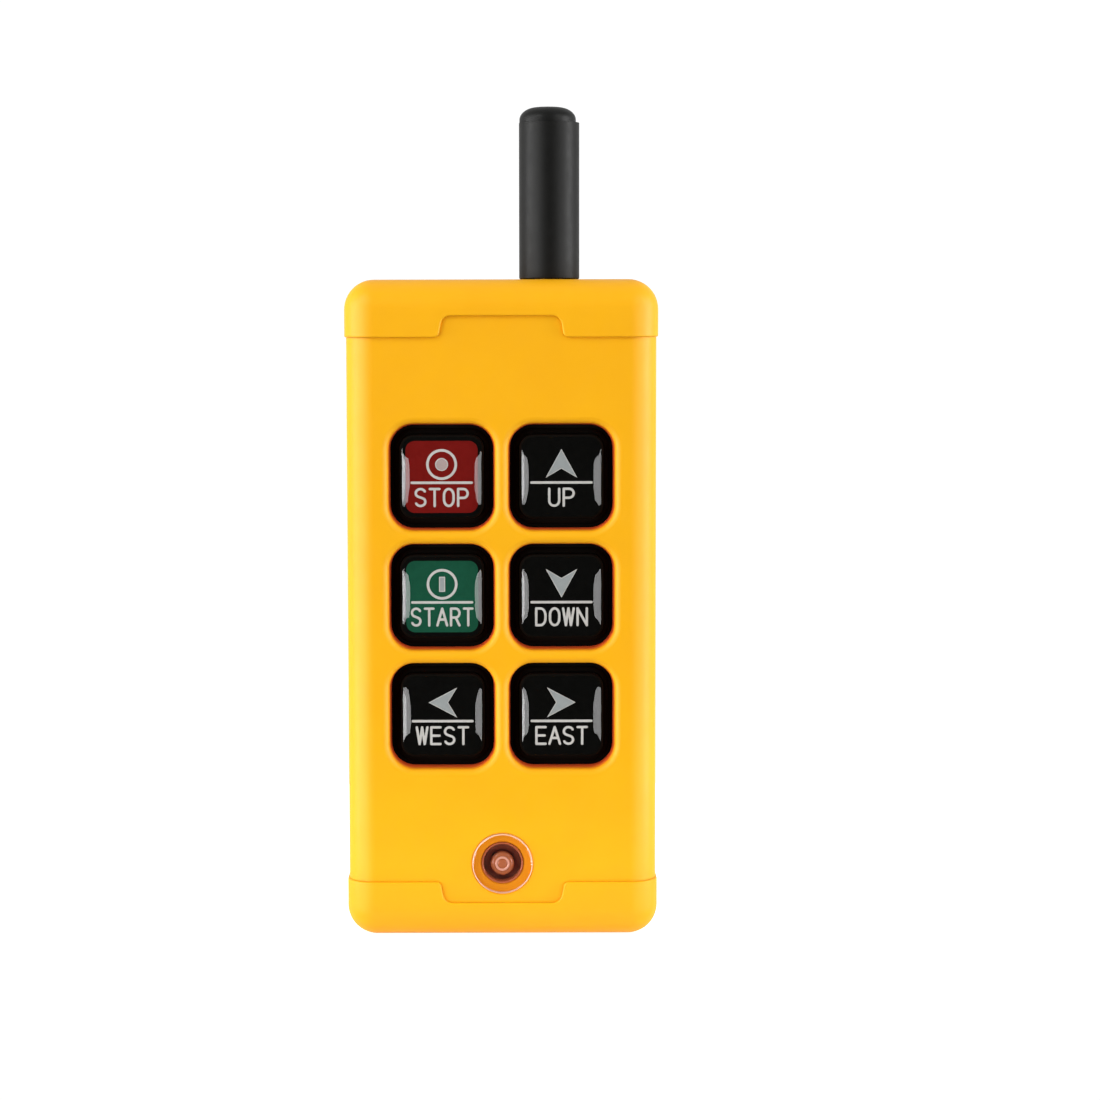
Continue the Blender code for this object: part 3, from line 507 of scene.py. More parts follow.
def rim_path():
    """The cap's rim, once round: the corner-circle middle, the outward normal and the height."""
    half_w, half_d = CAP_HALF_W - EDGE_R, CAP_HALF_D - EDGE_R
    side = notch_side()
    notch = side + [(-x, z) for x, z in reversed(side)]
    steps = 16
    path = []
    for quarter, (su, sv) in enumerate(((1, 1), (-1, 1), (-1, -1), (1, -1))):
        for i in range(steps + 1):
            angle = math.radians(90 * (quarter + i / steps))
            normal = Vector((math.cos(angle), math.sin(angle), 0))
            path.append((Vector((su * half_w, sv * half_d, 0)), normal, 0.0))
        if quarter in (0, 2):
            for x, z in notch:
                path.append((Vector((su * x, sv * half_d, 0)), Vector((0, sv, 0)), z))
    return path


def rim_points(path):
    """For each place on a rim: the point, its outward normal, and the way into the cap's wall."""
    outline = [middle + normal * EDGE_R for middle, normal, _ in path]
    rims = []
    for i, (_, normal, height) in enumerate(path):
        after = (i + 1) % len(path)
        run = outline[after] - outline[i - 1]
        run.z = path[after][2] - path[i - 1][2]
        inward = normal.cross(run).normalized()
        if inward.z < 0:
            inward.negate()
        rims.append((outline[i] + Vector((0, 0, height)), normal, inward))
    return rims


def cap_skin(name, seam, end):
    """A cap from its rounded rim, which follows the seam and the notches, to its flat end."""
    path = rim_path()
    rims = rim_points(path)
    cap_h = abs(end - seam)
    inside = Vector((0, 0, cap_h - CAP_END))
    rings = [
        [middle + normal * (EDGE_R - CAP_WALL) + inside for middle, normal, _ in path],
        [point - normal * CAP_WALL for point, normal, _ in rims],
    ]
    for step in range(5):
        angle = math.radians(90 * step / 4)
        ring = []
        for point, normal, inward in rims:
            round_middle = point + (inward - normal) * LIP_R
            spoke = normal * math.sin(angle) - inward * math.cos(angle)
            ring.append(round_middle + spoke * LIP_R)
        rings.append(ring)
    for step in range(13):
        angle = math.radians(90 * step / 12)
        height = Vector((0, 0, cap_h - EDGE_R + EDGE_R * math.sin(angle)))
        reach = EDGE_R * math.cos(angle)
        rings.append([middle + normal * reach + height for middle, normal, _ in path])
    way = 1 if end > seam else -1
    return loft(name, [[(p.x, p.y, seam + way * p.z) for p in ring] for ring in rings])


def cap_screw_sink(node, end, way):
    """A cutter for a cap screw's clearance hole and its counterbore in the cap's end."""
    rim = mouth(SCREW_SINK_R, 0, 0.35 * MM, (0, 0.5, 1.0, 1.4))
    profile = sunk_hole(1.6 * MM, SCREW_SINK_R, -5 * MM, -1.9 * MM, rim)
    place = middle_of(node)
    return turned("sink", [(r, way * h) for r, h in profile], (place.x, place.y, end))


def stud_hole(depth):
    """A cutter for the antenna's stud, down to a depth below the case's top."""
    profile = [(STUD_HOLE_R, -depth), (STUD_HOLE_R, 5 * MM)]
    return turned("stud_hole", profile, (ANTENNA_X, 0, CASE_H))


def make_caps(materials):
    top = cap_skin("top_cap_shell", SEAM_HIGH, CASE_H)
    carve(top, cap_screw_sink("cap_screw_1", CASE_H, 1), stud_hole(9 * MM))
    bottom = cap_skin("bottom_cap_shell", SEAM_LOW, 0.0)
    for name in ("cap_screw_2", "cap_screw_3"):
        carve(bottom, cap_screw_sink(name, 0.0, -1))
    for cap, node in ((top, "top_cap"), (bottom, "bottom_cap")):
        dress(cap, materials["yellow"], "housing", replaces=[node])


# ---------------- shells


def tongue_space(name, seam, way):
    """The space that a cap fills, with the neck and the tongue left out of it."""
    low, high = sorted((seam - way * SEAM_GAP, seam + way * FAR))
    square = [(FAR, FAR), (-FAR, FAR), (-FAR, -FAR), (FAR, -FAR)]
    space = loft(name, [on_level(square, low), on_level(square, high)])
    neck = prism("neck", NECK_HALF_W, NECK_HALF_D, EDGE_R - CAP_WALL, NECK_LOW, NECK_HIGH)
    right = [(NOTCH_HALF, -2 * MM), *notch_side(SEAM_GAP)]
    outline = right + [(-x, z) for x, z in reversed(right)]
    tongue = loft("tongue", [[(x, y, seam + way * z) for x, z in outline] for y in (-FAR, FAR)])
    return carve(space, neck, tongue)


def shell_half(name, front):
    """Half of the case: a hollow rounded prism with a neck and a tongue at each end."""
    shell = prism(name, HALF_W, -FRONT, EDGE_R - PROUD, 0, CASE_H)
    inside_w = NECK_HALF_W - NECK_WALL
    split = GAP / 2
    low_y, high_y = (-split, FAR) if front else (-FAR, split)
    return carve(
        shell,
        tongue_space("top_space", SEAM_HIGH, 1),
        tongue_space("bottom_space", SEAM_LOW, -1),
        prism("inside", inside_w, -FRONT - WALL, EDGE_R - WALL, SEAM_LOW + WALL, SEAM_HIGH - WALL),
        prism(
            "neck_inside", inside_w, NECK_HALF_D - NECK_WALL, EDGE_R - CAP_WALL - NECK_WALL,
            NECK_LOW + NECK_END, NECK_HIGH - NECK_END,
        ),
        block("half", (-FAR, low_y, -FAR), (FAR, high_y, CASE_H + FAR)),
    )


def well_cutter(name, x, z):
    """A key's well, with a rounded mouth and walls that lean in a little."""
    floor = WELL_DEPTH + 1 * MM
    lean = floor * WELL_DRAFT
    levels = [(-lean, floor), *round_over(WELL_FILLET, 8, 85), (WELL_FILLET, -OUTSIDE)]
    levels = [(grow, FRONT + depth) for grow, depth in levels]
    return stack(name, (WELL_W / 2, WELL_H / 2, WELL_R), levels, x, z)


def on_well_wall(point):
    """Whether a point of the front shell is on a well's rounded mouth or on its wall, where the
    shade is painted.
    """
    reach_w, reach_h = WELL_W / 2 + WELL_FILLET, WELL_H / 2 + WELL_FILLET
    beside = (
        abs(point.x - key.x) < reach_w and abs(point.z - key.z) < reach_h
        for key in KEY_MIDDLE.values()
    )
    return any(beside) and FRONT + 0.01 * MM < point.y < FRONT + WELL_DEPTH


def make_front(materials):
    """The front shell, thicker round its six wells, with the lens's seat and the lamp's hole."""
    shell = shell_half("front_case", True)
    top_left, bottom_right = KEY_MIDDLE["stop"], KEY_MIDDLE["east"]
    well_wall = 1.6 * MM
    reach_w, reach_h = WELL_W / 2 + well_wall, WELL_H / 2 + well_wall
    low = (top_left.x - reach_w, FRONT + WALL - 0.4 * MM, bottom_right.z - reach_h)
    high = (bottom_right.x + reach_w, FRONT + WELL_DEPTH, top_left.z + reach_h)
    weld(shell, block("pad", low, high, WELL_R))
    carve(shell, *[well_cutter(f"well_{name}", k.x, k.z) for name, k in KEY_MIDDLE.items()])
    seat_r, seat = LENS_R + GAP, -1.0 * MM
    profile = [
        (LAMP_HOLE_R, -8 * MM),
        (LAMP_HOLE_R, seat - 0.25 * MM),
        (LAMP_HOLE_R + 0.25 * MM, seat),
        (seat_r, seat),
        *mouth(seat_r, 0, 0.3 * MM),
    ]
    lamp_seat = turned("seat", profile, (LENS_MIDDLE.x, FRONT, LENS_MIDDLE.z), "FRONT")
    carve(shell, lamp_seat, stud_hole(12 * MM))
    dress(shell, materials["yellow"], "housing", replaces=["front_shell"])
    # the wells' mouths and walls get the painted shade
    paint_part(shell, materials["well"], on_well_wall)


def bay_and_frame(shell, bay_low, bay_high, bay_half, bay_floor):
    """Adds the walls of the battery bay and the frame that the door closes on."""
    wall = 1.2 * MM
    frame_front = 9.9 * MM
    weld(
        shell,
        block(
            "door_frame",
            (DOOR_LOW.x - 2 * MM, frame_front, DOOR_LOW.z - 1 * MM),
            (DOOR_HIGH.x + 2 * MM, REAR - WALL + 0.5 * MM, DOOR_HIGH.z + 2 * MM),
        ),
        block(
            "bay_box",
            (-bay_half - wall, bay_floor - wall, bay_low - wall),
            (bay_half + wall, frame_front + 0.5 * MM, bay_high + wall),
        ),
    )


def door_recess(ledge, lip):
    """A cutter for the door's recess, down to a ledge, with a rounded mouth."""
    sizes = (DOOR_HALF_W + GAP, DOOR_HALF_H + GAP, 3 * MM)
    return stack("recess", sizes, [(0, ledge), *mouth(0, REAR, lip)], 0, DOOR_Z, 8)


def make_rear(materials):
    """The rear shell, with its screw bosses, the battery bay and the door's recess."""
    shell = shell_half("rear_case", False)
    ledge = REAR - RECESS_D
    lip = 0.4 * MM
    bay_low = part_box("contact_negative")[0].z - 0.3 * MM
    bay_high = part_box("contact_bridge")[1].z + 0.3 * MM
    bay_half, bay_floor = 11.7 * MM, 0.3 * MM
    bay_and_frame(shell, bay_low, bay_high, bay_half, bay_floor)
    door_screws = [middle_of(f"door_screw_{i}") for i in (1, 2)]
    case_screws = [middle_of(f"case_screw_{i}") for i in (1, 2, 3, 4)]
    for place in door_screws:
        weld(shell, post("boss", 2.7 * MM, 3.5 * MM, ledge - 0.5 * MM, place))
    for place in case_screws:
        weld(shell, post("boss", 4.2 * MM, 0.4 * MM, REAR - WALL + 0.5 * MM, place))
    bay_start, bay_end = (-bay_half, bay_floor, bay_low), (bay_half, REAR + 2 * MM, bay_high)
    carve(shell, door_recess(ledge, lip), block("bay", bay_start, bay_end, 0.6 * MM))
    for place in door_screws:
        carve(shell, post("hole", 1.3 * MM, 4.5 * MM, 20 * MM, place))
    profile = sunk_hole(1.7 * MM, SCREW_SINK_R, -1 * MM, 5.0 * MM, mouth(SCREW_SINK_R, REAR, lip))
    for place in case_screws:
        carve(shell, turned("sink", profile, (place.x, 0, place.z), "REAR"))
    carve(shell, stud_hole(12 * MM))
    dress(shell, materials["yellow"], "housing", replaces=["rear_shell"])


def finger_groove(z):
    """A cutter for one of the door's finger grooves, with a round bottom and a wider mouth."""
    rings = []
    for half, rise in ((0.25, -0.6), (0.5, -0.35), (0.6, 0.02), (0.6, 0.5)):
        outline = rounded(9 * MM + half * MM * 0.4, half * MM, half * MM * 0.95, 4)
        rings.append(facing(outline, 0, REAR + rise * MM, z))
    return loft("groove", rings)


def make_door(materials):
    """The battery door: rounded edges, finger grooves, two sunk screws and a pressing rib."""
    inner = REAR - 1.65 * MM
    levels = [(0, inner), *[(-shrink, REAR - fall) for shrink, fall in round_over(0.4 * MM, 4)]]
    door = stack("door_cover", (DOOR_HALF_W, DOOR_HALF_H, 2.85 * MM), levels, 0, DOOR_Z, 8)
    rib_half = 10.2 * MM
    rib_low, rib_high = (-rib_half, DOOR_LOW.y, 34 * MM), (rib_half, inner + 0.5 * MM, 66 * MM)
    weld(door, block("rib", rib_low, rib_high, 1 * MM))
    highest, pitch = 68.6 * MM, 2.6 * MM
    for i in range(4):
        carve(door, finger_groove(highest - i * pitch))
    sink_r = 2.9 * MM
    rim = mouth(sink_r, REAR, 0.25 * MM, (0, 0.5, 1.0, 1.45))
    profile = sunk_hole(1.7 * MM, sink_r, 0, REAR - 1.0 * MM, rim)
    for i in (1, 2):
        place = middle_of(f"door_screw_{i}")
        carve(door, turned("sink", profile, (place.x, 0, place.z), "REAR", 48))
    dress(door, materials["yellow"], "door", replaces=["battery_door"])


# ---------------- screws


def screw_profile(head_r, head_h, shank_r, length):
    """A pan head and a shank with ribs for its thread, as (radius, height) from the head's seat."""
    profile = [(0, head_h), *arc((0, 0), (head_r, head_h), 80, 20, 7)]
    profile += [(head_r, head_h * 0.2), (head_r, 0.0), (shank_r, 0.0)]
    pitch = 0.8 * MM
    root_r = shank_r * 0.8
    for i in range(int((length - 2 * shank_r) / pitch)):
        start = -0.6 * MM - i * pitch
        profile += [(root_r, start), (shank_r, start - 0.4 * pitch), (root_r, start - 0.8 * pitch)]
    profile += [(shank_r * 0.75, -length + shank_r), (shank_r * 0.15, -length), (0, -length)]
    return profile


def cross_cutter(head_r, head_h):
    """A cutter for a tapered cross recess."""
    arm, width, depth = head_r * 0.6, head_r * 0.13, head_h * 0.75
    rings = []
    for share, height in ((0.35, head_h - depth), (1.0, head_h * 0.8), (1.1, head_h + 0.5 * MM)):
        a, w = arm * share, width * (0.6 + 0.4 * share)
        corners = [(a, -w), (a, w), (w, w)]
        for _ in range(9):  # each is a quarter turn from the third before it
            u, v = corners[-3]
            corners.append((-v, u))
        rings.append(on_level(corners, height))
    return loft("cross", rings)


def make_screw(name, node, sizes, way, body, material):
    """A pan-head screw with a cross recess. Its head looks along way."""
    low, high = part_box(node)
    head_r, head_h, shank_r = (size * MM for size in sizes)
    way = Vector(way)
    along = sum(abs(w) * (h - l) for w, l, h in zip(way, low, high))
    seat = middle_of(node) + way * along / 2 - way * head_h
    profile = screw_profile(head_r, head_h, shank_r, along - head_h)
    screw = carve(turned(name, profile, (0, 0, 0), "Z", 32), cross_cutter(head_r, head_h))
    turn = Vector((0, 0, 1)).rotation_difference(way).to_matrix().to_4x4()
    screw.data.transform(Matrix.Translation(seat) @ turn @ Matrix.Rotation(0.35, 4, "Z"))
    dress(screw, material, body, 40, replaces=[node])


def make_screws(materials):
    """Four case screws and two in the door look rearward, and the caps' look up or down."""
    case_size, cap_size, door_size = (2.8, 2.2, 1.3), (2.7, 1.4, 1.1), (2.4, 0.75, 1.1)
    rearward, up, down = (0, 1, 0), (0, 0, 1), (0, 0, -1)
    for kind, node, sizes, numbers, way, body in (
        ("rear_screw", "case_screw", case_size, (1, 2, 3, 4), rearward, "housing"),
        ("end_screw", "cap_screw", cap_size, (1,), up, "housing"),
        ("end_screw", "cap_screw", cap_size, (2, 3), down, "housing"),
        ("cover_screw", "door_screw", door_size, (1, 2), rearward, "door"),
    ):
        for i in numbers:
            make_screw(f"{kind}_{i}", f"{node}_{i}", sizes, way, body, materials["steel"])


# ---------------- lettering and signs

LETTER_H = 4.0 * MM
STROKE = 0.5 * MM
INK_T = 0.04 * MM
SIGN_RISE = 2.57 * MM  # of the round signs' middle over the label's
LINE_DROP = 1.2 * MM
WORD_DROP = 4.25 * MM


def glyph_strokes(letter):
    """A letter's strokes on a box 2 wide and 2 high, each a run of (u, v) points."""
    stem = [(-1, -1), (-1, 1)]
    bowl = [(-1, 1), *arc((0.1, 0.47), (0.9, 0.53), 90, -90, 10), (-1, -0.06)]
    curves_of_s = [
        *arc((0, 0.51), (1.0, 0.49), 25, 180, 9),
        *arc((-0.05, 0.47), (0.95, 0.42), 195, 245, 3),
        *arc((0.05, -0.47), (0.95, 0.42), 65, 15, 3),
        *arc((0, -0.51), (1.0, 0.49), 0, -155, 9),
    ]
    back_of_d = [
        (-1, 1),
        *arc((-0.1, 0.2), (1.1, 0.8), 90, 0, 7),
        *arc((-0.1, -0.2), (1.1, 0.8), 0, -90, 7),
        (-1, -1),
    ]
    zigzag = [(-1.15, 1), (-0.55, -1), (0, 1), (0.55, -1), (1.15, 1)]
    strokes = {
        "S": [curves_of_s],
        "T": [[(-1, 1), (1, 1)], [(0, 1), (0, -1)]],
        "O": [[*arc((0, 0.25), (1, 0.75), 0, 180, 12), *arc((0, -0.25), (1, 0.75), 180, 360, 12)]],
        "P": [stem, bowl],
        "A": [[(-1.15, -1), (0, 1)], [(0, 1), (1.15, -1)], [(-0.74, -0.3), (0.74, -0.3)]],
        "R": [stem, bowl, [(0.1, -0.06), (1, -1)]],
        "U": [[(-1, 1), *arc((0, -0.42), (1, 0.58), 180, 360, 12), (1, 1)]],
        "D": [stem, back_of_d],
        "W": list(zip(zigzag, zigzag[1:])),
        "N": [stem, [(-1, 1), (1, -1)], [(1, -1), (1, 1)]],
        "E": [stem, [(-1, 1), (1, 1)], [(-1, 0), (0.8, 0)], [(-1, -1), (1, -1)]],
    }
    return strokes[letter]


def round_end(middle, start):
    """The points of a half circle about a line's end, between its two sides."""
    return [middle + Matrix.Rotation(-math.pi * i / 6, 2) @ start for i in range(1, 6)]


def stroke_outline(points, half):
    """The outline of a line with round ends, as (u, v) points."""
    points = [Vector(p) for p in points]
    left, right = [], []
    for i, point in enumerate(points):
        run = (points[min(i + 1, len(points) - 1)] - points[max(i - 1, 0)]).normalized()
        across = Vector((-run.y, run.x)) * half
        left.append(point + across)
        right.append(point - across)
    end = round_end(points[-1], left[-1] - points[-1])
    start = round_end(points[0], right[0] - points[0])
    return [*left, *end, *reversed(right), *start]


def plate(name, outline, x, z, depth, thickness):
    """A flat piece of ink, from a depth behind the front face towards the front."""
    rings = [on_front(outline, x, z, d) for d in (depth, depth - thickness)]
    return loft(name, rings)


def band(name, outer, inner, x, z, depth, thickness):
    """A flat closed band between two outlines that hold the same count."""
    front = depth - thickness
    path = (outer, depth), (outer, front), (inner, front), (inner, depth), (outer, depth)
    return loft(name, [on_front(outline, x, z, d) for outline, d in path], False, False)


def circle(radius):
    count = 48
    angles = (2 * math.pi * i / count for i in range(count))
    return [(radius * math.cos(angle), radius * math.sin(angle)) for angle in angles]


def word_pieces(word, x, z, depth):
    """The strokes of a word's letters, centred on a place. An O is a band, the rest are lines."""
    pitch = {"STOP": 2.92, "START": 2.7, "UP": 3.0}.get(word, 2.86) * MM
    half_w = (pitch - 0.45 * MM - STROKE) / 2
    half_h = (LETTER_H - STROKE) / 2
    made = []
    for i, letter in enumerate(word):
        middle = x + (i - (len(word) - 1) / 2) * pitch
        for j, stroke in enumerate(glyph_strokes(letter)):
            line = [(u * half_w, v * half_h) for u, v in stroke]
            if letter == "O":
                grow_u, grow_v = STROKE / 2 / half_w, STROKE / 2 / half_h
                outer = [(u * (1 + grow_u), v * (1 + grow_v)) for u, v in line]
                inner = [(u * (1 - grow_u), v * (1 - grow_v)) for u, v in line]
                made.append(band("ink", outer, inner, middle, z, depth, INK_T))
                continue
            thickness = INK_T + 0.002 * MM * j  # so that crossing strokes don't share a face
            outline = stroke_outline(line, STROKE / 2)
            made.append(plate("ink", outline, middle, z, depth, thickness))
    return made


# the arrows that point up and right, in mm from the label's middle
ARROW = ((0, 5.72), (3.27, -0.22), (0, 1.68), (-3.27, -0.22))
SIDE_ARROW = ((2.9, 2.7), (-3.02, -0.44), (-1.13, 2.7), (-3.02, 5.82))


def inset(outline, amount):
    """A polygon moved in on all its sides."""
    points = [Vector(p) for p in outline]
    turn = sum(a.x * b.y - b.x * a.y for a, b in zip(points, points[1:] + points[:1]))
    sign = 1 if turn > 0 else -1
    moved = []
    for i, point in enumerate(points):
        a = (point - points[i - 1]).normalized()
        b = (points[(i + 1) % len(points)] - point).normalized()
        normal_a, normal_b = Vector((-a.y, a.x)) * sign, Vector((-b.y, b.x)) * sign
        bisector = (normal_a + normal_b).normalized()
        moved.append(point + bisector * amount / max(bisector.dot(normal_a), 0.2))
    return [tuple(p) for p in moved]


def sign_pieces(name, x, z, depth):
    """The sign over the line: its pale pieces, and the fill that lies on one of them."""
    pale = []
    if name in ("stop", "start"):
        z += SIGN_RISE
        pale.append(band("ink", circle(3.2 * MM), circle(2.66 * MM), x, z, depth, INK_T))
    if name == "stop":
        outline, fill = circle(1.33 * MM), circle(1.13 * MM)
    elif name == "start":
        outline = rounded(0.625 * MM, 1.57 * MM, 0.08 * MM, 2)
        fill = rounded(0.43 * MM, 1.38 * MM, 0.04 * MM, 2)
    else:
        arrow = {
            "up": ARROW,
            "down": [(u, 5.5 - v) for u, v in ARROW],
            "east": SIDE_ARROW,
            "west": [(-u, v) for u, v in SIDE_ARROW],
        }[name]
        outline = [(u * MM, v * MM) for u, v in arrow]
        fill = inset(outline, 0.13 * MM)
    pale.append(plate("ink", outline, x, z, depth, INK_T))
    return pale, plate("ink", fill, x, z, depth - INK_T, INK_T / 2)


def merge(name, objects):
    """Joins meshes into one object."""
    bm = bmesh.new()
    for obj in objects:
        bm.from_mesh(obj.data)
        bpy.data.objects.remove(obj)
    mesh = bpy.data.meshes.new(name)
    bm.to_mesh(mesh)
    bm.free()
    return new_object(name, mesh)


# ---------------- keys


def dome(name, x, z, half, film_front, crown):
    """Clear resin domed on a film. It rises steeply at the sides, less so at the corners.

    Its level lines turn from a rounded square at the edge to a circle in the middle. The flat back
    of the body is the film."""
    rise = film_front - crown
    edge = 0.1 * MM
    steps = 40
    rings = [on_front(rounded(half, half, DOME_R, 16), x, z, film_front)]
    for step in range(steps + 1):
        share = max(math.sin(math.radians(90 * (1 - step / steps))), 0.004)
        roundness = DOME_R / half + (1 - DOME_R / half) * (1 - share) ** 0.45
        height = edge + (rise - edge) * (1 - share**5)
        reach = half * share
        outline = rounded(reach, reach, reach * roundness, 16)
        rings.append(on_front(outline, x, z, film_front - height))
    return loft(name, rings)


def make_key(name, materials):
    """A rubber key cap on its stem, with its label and its skirt."""
    middle = KEY_MIDDLE[name]
    x, z = middle.x, middle.z
    body = f"{name}_key"
    low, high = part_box(f"key_{name}")
    half = (high.x - low.x) / 2
    top, base = low.y - FRONT, high.y - FRONT - 0.5 * MM
    edge = [(-shrink, FRONT + (top + fall)) for shrink, fall in round_over(0.5 * MM, 5)]
    key = stack(f"keycap_{name}", (half, half, KEY_R), [(0, FRONT + base), *edge], x, z)
    stem = [(3.2 * MM, -base - 0.5 * MM), (3.2 * MM, -base + 0.3 * MM)]
    weld(key, turned("stem", stem, (x, FRONT, z), "FRONT", 32))
    dress(key, materials["rubber"], body, replaces=[f"key_{name}"])
    make_label(name, x, z, body, materials)
    make_skirt(name, x, z, half, materials)


def make_label(name, x, z, body, materials):
    """Printed film, ink and dome, from the key's top forwards."""
    low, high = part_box(f"label_{name}")
    half = (high.x - low.x) / 2
    film_front = high.y - FRONT - 0.1 * MM
    colour = {"stop": "red", "start": "green"}.get(name)
    label = dome(f"domed_{name}", x, z, half, film_front, low.y - FRONT)
    dress(label, materials["dome"], body, 60, replaces=[f"label_{name}"], weighted=False)
    film_back = FRONT + film_front - 0.001 * MM
    paint_part(label, materials["film"], lambda point: point.y > film_back)
    if colour:
        outline = rounded(7.45 * MM, 7.45 * MM, 1.9 * MM)
        patch = plate(f"patch_{name}", outline, x, z, film_front, 0.03 * MM)
        dress(patch, materials[colour], body)
    ink = film_front - 0.035 * MM
    bar = stroke_outline([(-6.2 * MM, 0), (6.2 * MM, 0)], 0.26 * MM)
    line = plate("ink", bar, x, z - LINE_DROP, ink, INK_T)
    pale, fill = sign_pieces(name, x, z, ink)
    word = word_pieces(name.upper(), x, z - WORD_DROP, ink)
    letters = merge(f"print_{name}", [line, *pale, *word])
    dress(letters, materials["white"], body, weighted=False)
    fill_ink = materials["rose" if name == "stop" else "grey"]
    dress(merge(f"fill_{name}", [fill]), fill_ink, body, weighted=False)


def make_skirt(name, x, z, half, materials):
    """The thin rubber that joins a key to the boot. The real one gives when the key is pressed;
    this mesh is fixed and is not tied to any body.
    """
    inner, outer = 4.05 * MM, 4.57 * MM  # depths behind the front face
    thin = 0.25 * MM
    foot = half + 0.02 * MM
    section = [
        (0.0, inner),
        (0.35 * MM, inner + 0.02 * MM),
        (0.75 * MM, inner + 0.2 * MM),
        (1.3 * MM, outer),
        (1.3 * MM, outer + 0.02 * MM),
        (0.7 * MM, inner + 0.2 * MM + thin),
        (0.3 * MM, inner + 0.05 * MM + thin),
        (0.0, inner + thin),
        (0.0, inner),
    ]
    levels = [(grow, FRONT + depth) for grow, depth in section]
    skirt = stack(f"skirt_{name}", (foot, foot, KEY_R), levels, x, z, ends=False)
    skirt.data.materials.append(materials["rubber"])
    skirt.data.shade_smooth()
    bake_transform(skirt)


def make_boot(materials):
    """The rubber tray behind the wells, with a rolled edge round each key's hole."""
    low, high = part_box("keypad_boot")
    boot = block("boot_tray", low, high, 4 * MM)
    rim = 1.5 * MM
    inside_low = (low.x + rim, low.y + 1.2 * MM, low.z + rim)
    inside_high = (high.x - rim, high.y + 1 * MM, high.z - rim)
    carve(boot, block("inside", inside_low, inside_high, 2.5 * MM))
    for middle in KEY_MIDDLE.values():
        rings = []
        for grow, depth in ((0, 7.0), (0, 4.9), (0.1, 4.7), (0.3, 4.61), (0.3, 3.0)):
            half = (9.0 + grow) * MM
            outline = rounded(half, half, KEY_R + (0.3 + grow) * MM)
            rings.append(on_front(outline, middle.x, middle.z, depth * MM))
        carve(boot, loft("hole", rings))
    dress(boot, materials["rubber"], "housing", replaces=["keypad_boot"])


# ---------------- lamp


def off_axis(point, place):
    """How far a point is from the axis of a part that is turned about -Y."""
    return math.hypot(point.x - place[0], point.z - place[2])


def make_lens(materials):
    """The clear lens with a painted highlight on its edge, and the barrel behind it, painted copper
    for the orange light seen through the real clear barrel.
    """
    place = (LENS_MIDDLE.x, FRONT, LENS_MIDDLE.z)
    top, back = FRONT - LENS_LOW.y, FRONT - LENS_HIGH.y
    flange, rim, face = -0.85 * MM, 0.5 * MM, top - 0.04 * MM
    profile = [(0, face), (LENS_R - rim - 0.6 * MM, face)]
    profile += arc((LENS_R - rim, top - rim), rim, 90, 0, 8)
    profile += [(LENS_R, flange + 0.1 * MM), (LENS_R - 0.1 * MM, flange), (0, flange)]
    lens = turned("lens_cover", profile, place, "FRONT", 96)
    dress(lens, materials["lens"], "housing", 50, replaces=["lamp_lens"])
    # painted highlight: the outermost faces of the lens get the pale, half clear material
    highlight_from = LENS_R - 0.12 * MM
    paint_part(lens, materials["lens_edge_painted_highlight"], lambda point: off_axis(point, place) > highlight_from)
    outer, inner = LAMP_HOLE_R - 0.05 * MM, 3.95 * MM
    front = flange - 0.02 * MM
    profile = [
        (outer, front),
        (outer, back + 0.1 * MM),
        (outer - 0.1 * MM, back),
        (inner, back),
        (inner, front - 0.1 * MM),
        (inner + 0.1 * MM, front),
        (outer, front),
    ]
    barrel = turned("lens_barrel", profile, place, "FRONT", 96)
    # painted bounce light: the barrel is coloured copper, not clear
    dress(barrel, materials["barrel"], "housing", 50)


def make_led(materials):
    """A 5 mm lamp with a dished tip inside a raised ring that carries a painted highlight, and the
    holder round it, painted brown for orange light bounced into the lamp's hole.
    """
    low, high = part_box("signal_led")
    place = ((low.x + high.x) / 2, FRONT, (low.z + high.z) / 2)
    foot, tip = FRONT - high.y, FRONT - low.y
    flange = foot + 1 * MM
    body_r, flange_r = 2.5 * MM, (high.x - low.x) / 2
    ring_r, ridge = 1.3 * MM, 0.28 * MM
    shoulder = (body_r - ring_r - ridge, 0.65 * MM)
    profile = [(0, tip - 0.12 * MM), (ring_r - 2 * ridge, tip - 0.14 * MM)]
    profile += arc((ring_r, tip - ridge), ridge, 180, 0, 8)
    profile += arc((ring_r + ridge, tip - 0.8 * MM), shoulder, 88, 0, 10)
    profile += [(body_r, flange), (flange_r, flange), (flange_r, foot), (0, foot)]
    led = turned("lamp_bulb", profile, place, "FRONT", 64)
    # the epoxy's copper tone is partly painted orange bounce light
    dress(led, materials["led"], "housing", 50, replaces=["signal_led"])

    # painted highlight: the raised ring's faces are paler than the rest of the epoxy
    def on_ring_highlight(point):
        on_tip = point.y < FRONT - tip + ridge
        return on_tip and abs(off_axis(point, place) - ring_r) < 0.9 * ridge

    paint_part(led, materials["led_ring_painted_highlight"], on_ring_highlight)
    bore, rim, edge = body_r + 0.1 * MM, 4.25 * MM, 0.2 * MM
    front, back = -4.4 * MM, -6.2 * MM
    profile = [
        (bore, front - edge),
        (bore + edge, front),
        (rim - edge, front),
        (rim, front - edge),
        (rim, back),
        (bore, back),
        (bore, front - edge),
    ]
    holder = turned("lamp_holder", profile, place, "FRONT", 64)
    # painted bounce light: the holder is coloured brown for the orange light in the hole
    dress(holder, materials["holder"], "housing", 50)


# ---------------- antenna


